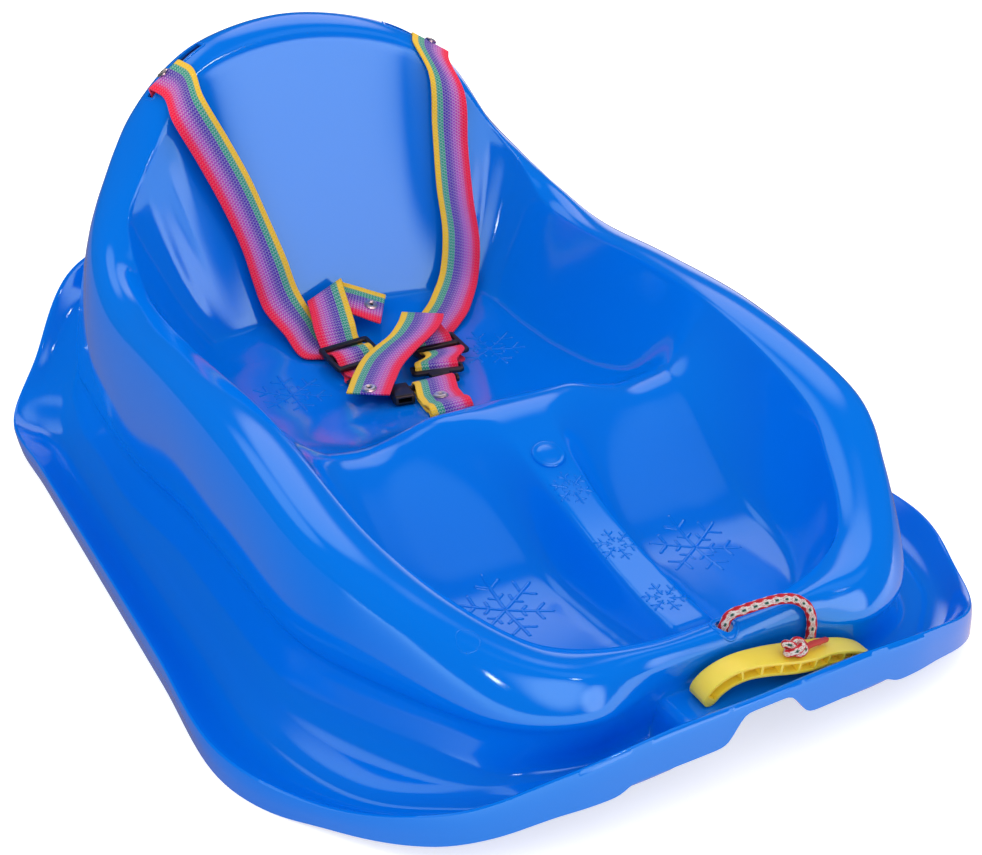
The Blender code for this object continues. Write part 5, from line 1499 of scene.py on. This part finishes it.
def melted_end(spot, long, back, up, look):
    """Fused end of the rope: uneven rod that tapers to its tip."""
    a, b = spot + long * 4.5 - up * 1.2, spot + long * 27 - up * 1.9 + back * 6.3
    count, around = 40, 16
    t = np.linspace(0, 1, count)
    line = a + (b - a) * t[:, None]
    line += up * 0.5 * np.sin(t * 5)[:, None] * t[:, None]
    size = 1.5 * np.interp(t, [0, 0.6, 0.9, 0.97, 1], [1.0, 1.08, 0.85, 0.5, 0.12])
    rows = []
    d = unit(b - a)
    n = unit(np.cross(d, up))
    m = np.cross(n, d)
    for i in range(count):
        for k in range(around):
            q = 2 * math.pi * k / around
            r = size[i] * (1 + 0.08 * math.sin(3 * q + 17 * t[i]) + 0.05 * math.sin(5 * q - 31 * t[i]))
            rows.append(line[i] + (n * math.cos(q) + m * math.sin(q)) * r)
    faces = []
    for i in range(count - 1):
        for k in range(around):
            j = (k + 1) % around
            faces.append((i * around + k, i * around + j, (i + 1) * around + j, (i + 1) * around + k))
    faces.append(tuple(range(around - 1, -1, -1)))
    faces.append(tuple((count - 1) * around + k for k in range(around)))
    return joined("melted_end", [(rows, faces)], look)


def handle(yellow):
    origin, long, up = (np.array(v, float) for v in HANDLE_PLACE)
    long = unit(long)
    up = unit(up - long * (up @ long))
    back = np.cross(up, long)
    place = matrix(origin, long, up, -back)
    half = half_line()
    left, right = half.copy(), half.copy()
    left[:, 1] = half[0, 1] + (half[:, 1] - half[0, 1]) * HANDLE_LEGS[0]
    right[:, 1] = half[0, 1] + (half[:, 1] - half[0, 1]) * HANDLE_LEGS[1]
    line = np.vstack([(left * [-1, 1, 1])[:0:-1], right])
    tangent = unit(np.gradient(line[:, :2], axis=0))
    normal = np.column_stack([-tangent[:, 1], tangent[:, 0]])
    over = line[:, :2] + normal * line[:, 2:]
    under = line[:, :2] - normal * line[:, 2:]
    outline = list(map(tuple, over)) + list(map(tuple, under[::-1]))
    reach_back, reach_ahead = HANDLE_DEPTH / 2, max(f for _, f in HANDLE_FRONT) + 1
    place = matrix(origin + back * (reach_back - reach_ahead) / 2, long, up, -back)
    body = as_mesh(flat_outline("tow_handle_moulding", [outline], (reach_back + reach_ahead) / 2, place, yellow, SCENE), SCENE)
    grid = np.arange(-70, 71, 2.0)
    ahead = np.interp(grid, *zip(*HANDLE_FRONT))
    for _ in range(4):
        ahead[1:-1] = (ahead[:-2] + ahead[1:-1] * 2 + ahead[2:]) / 4
    plan = [(float(a), -float(b)) for a, b in zip(grid, ahead)] + [(70, 30), (-70, 30)]
    swell = as_mesh(flat_outline("handle_plan", [plan], 45, matrix(origin, long, back, up), None, SCENE), SCENE)
    cut(body, swell, "INTERSECT")
    bake(body)
    bpy.data.objects.remove(swell, do_unlink=True)
    edge = body.modifiers.new("edge", "BEVEL")
    edge.width = 0.9 * MM
    edge.segments = 3
    edge.limit_method = "ANGLE"
    edge.angle_limit = math.radians(55)
    bake(body)
    length = np.concatenate([[0], np.cumsum(np.linalg.norm(np.diff(half[:, :2], axis=0), axis=1))])
    reach = length[-1] - 4.5
    rib = 0.6
    ribs = (-reach - rib, *HANDLE_RIBS, reach + rib)
    tools = []
    for k in range(len(ribs) - 1):
        a, b = ribs[k] + rib, ribs[k + 1] - rib
        where = np.linspace(a, b, max(8, int((b - a) / 1.2)))
        leg = left if a + b < 0 else right
        x, y, w = (np.interp(np.abs(where), length, leg[:, i]) for i in range(3))
        x = x * np.sign(where)
        ahead = 0.4
        x2, y2 = (np.interp(np.abs(where) + ahead, length, leg[:, i]) for i in range(2))
        slope = unit(np.column_stack([x2 - np.abs(x), (y2 - y) * 1.0]))
        slope[:, 1] *= np.sign(where)
        side = np.column_stack([-slope[:, 1], slope[:, 0]])
        middle = np.column_stack([x, y])
        top = middle + side * (w - HANDLE_WALL)[:, None]
        low = middle - side * (w - HANDLE_WALL)[:, None]
        loop = list(map(tuple, top)) + list(map(tuple, low[::-1]))
        front = np.interp(np.clip((a + b) / 2, -40, 40), *zip(*HANDLE_FRONT))
        first, last = front - HANDLE_CELL_DEPTH, 13
        at = matrix(origin - back * (first + last) / 2, long, up, -back)
        cell = as_mesh(flat_outline("handle_cell_%02d" % k, [loop], (last - first) / 2, at, None, SCENE), SCENE)
        cell.hide_render = True
        cut(body, cell)
        tools.append(cell)
    bake(body)
    for tool in tools:
        bpy.data.objects.remove(tool, do_unlink=True)
    dress(body, yellow)
    soften(body, 40)
    belongs(body, "tow_handle", "yellow_handle", "tow_handle")


build()
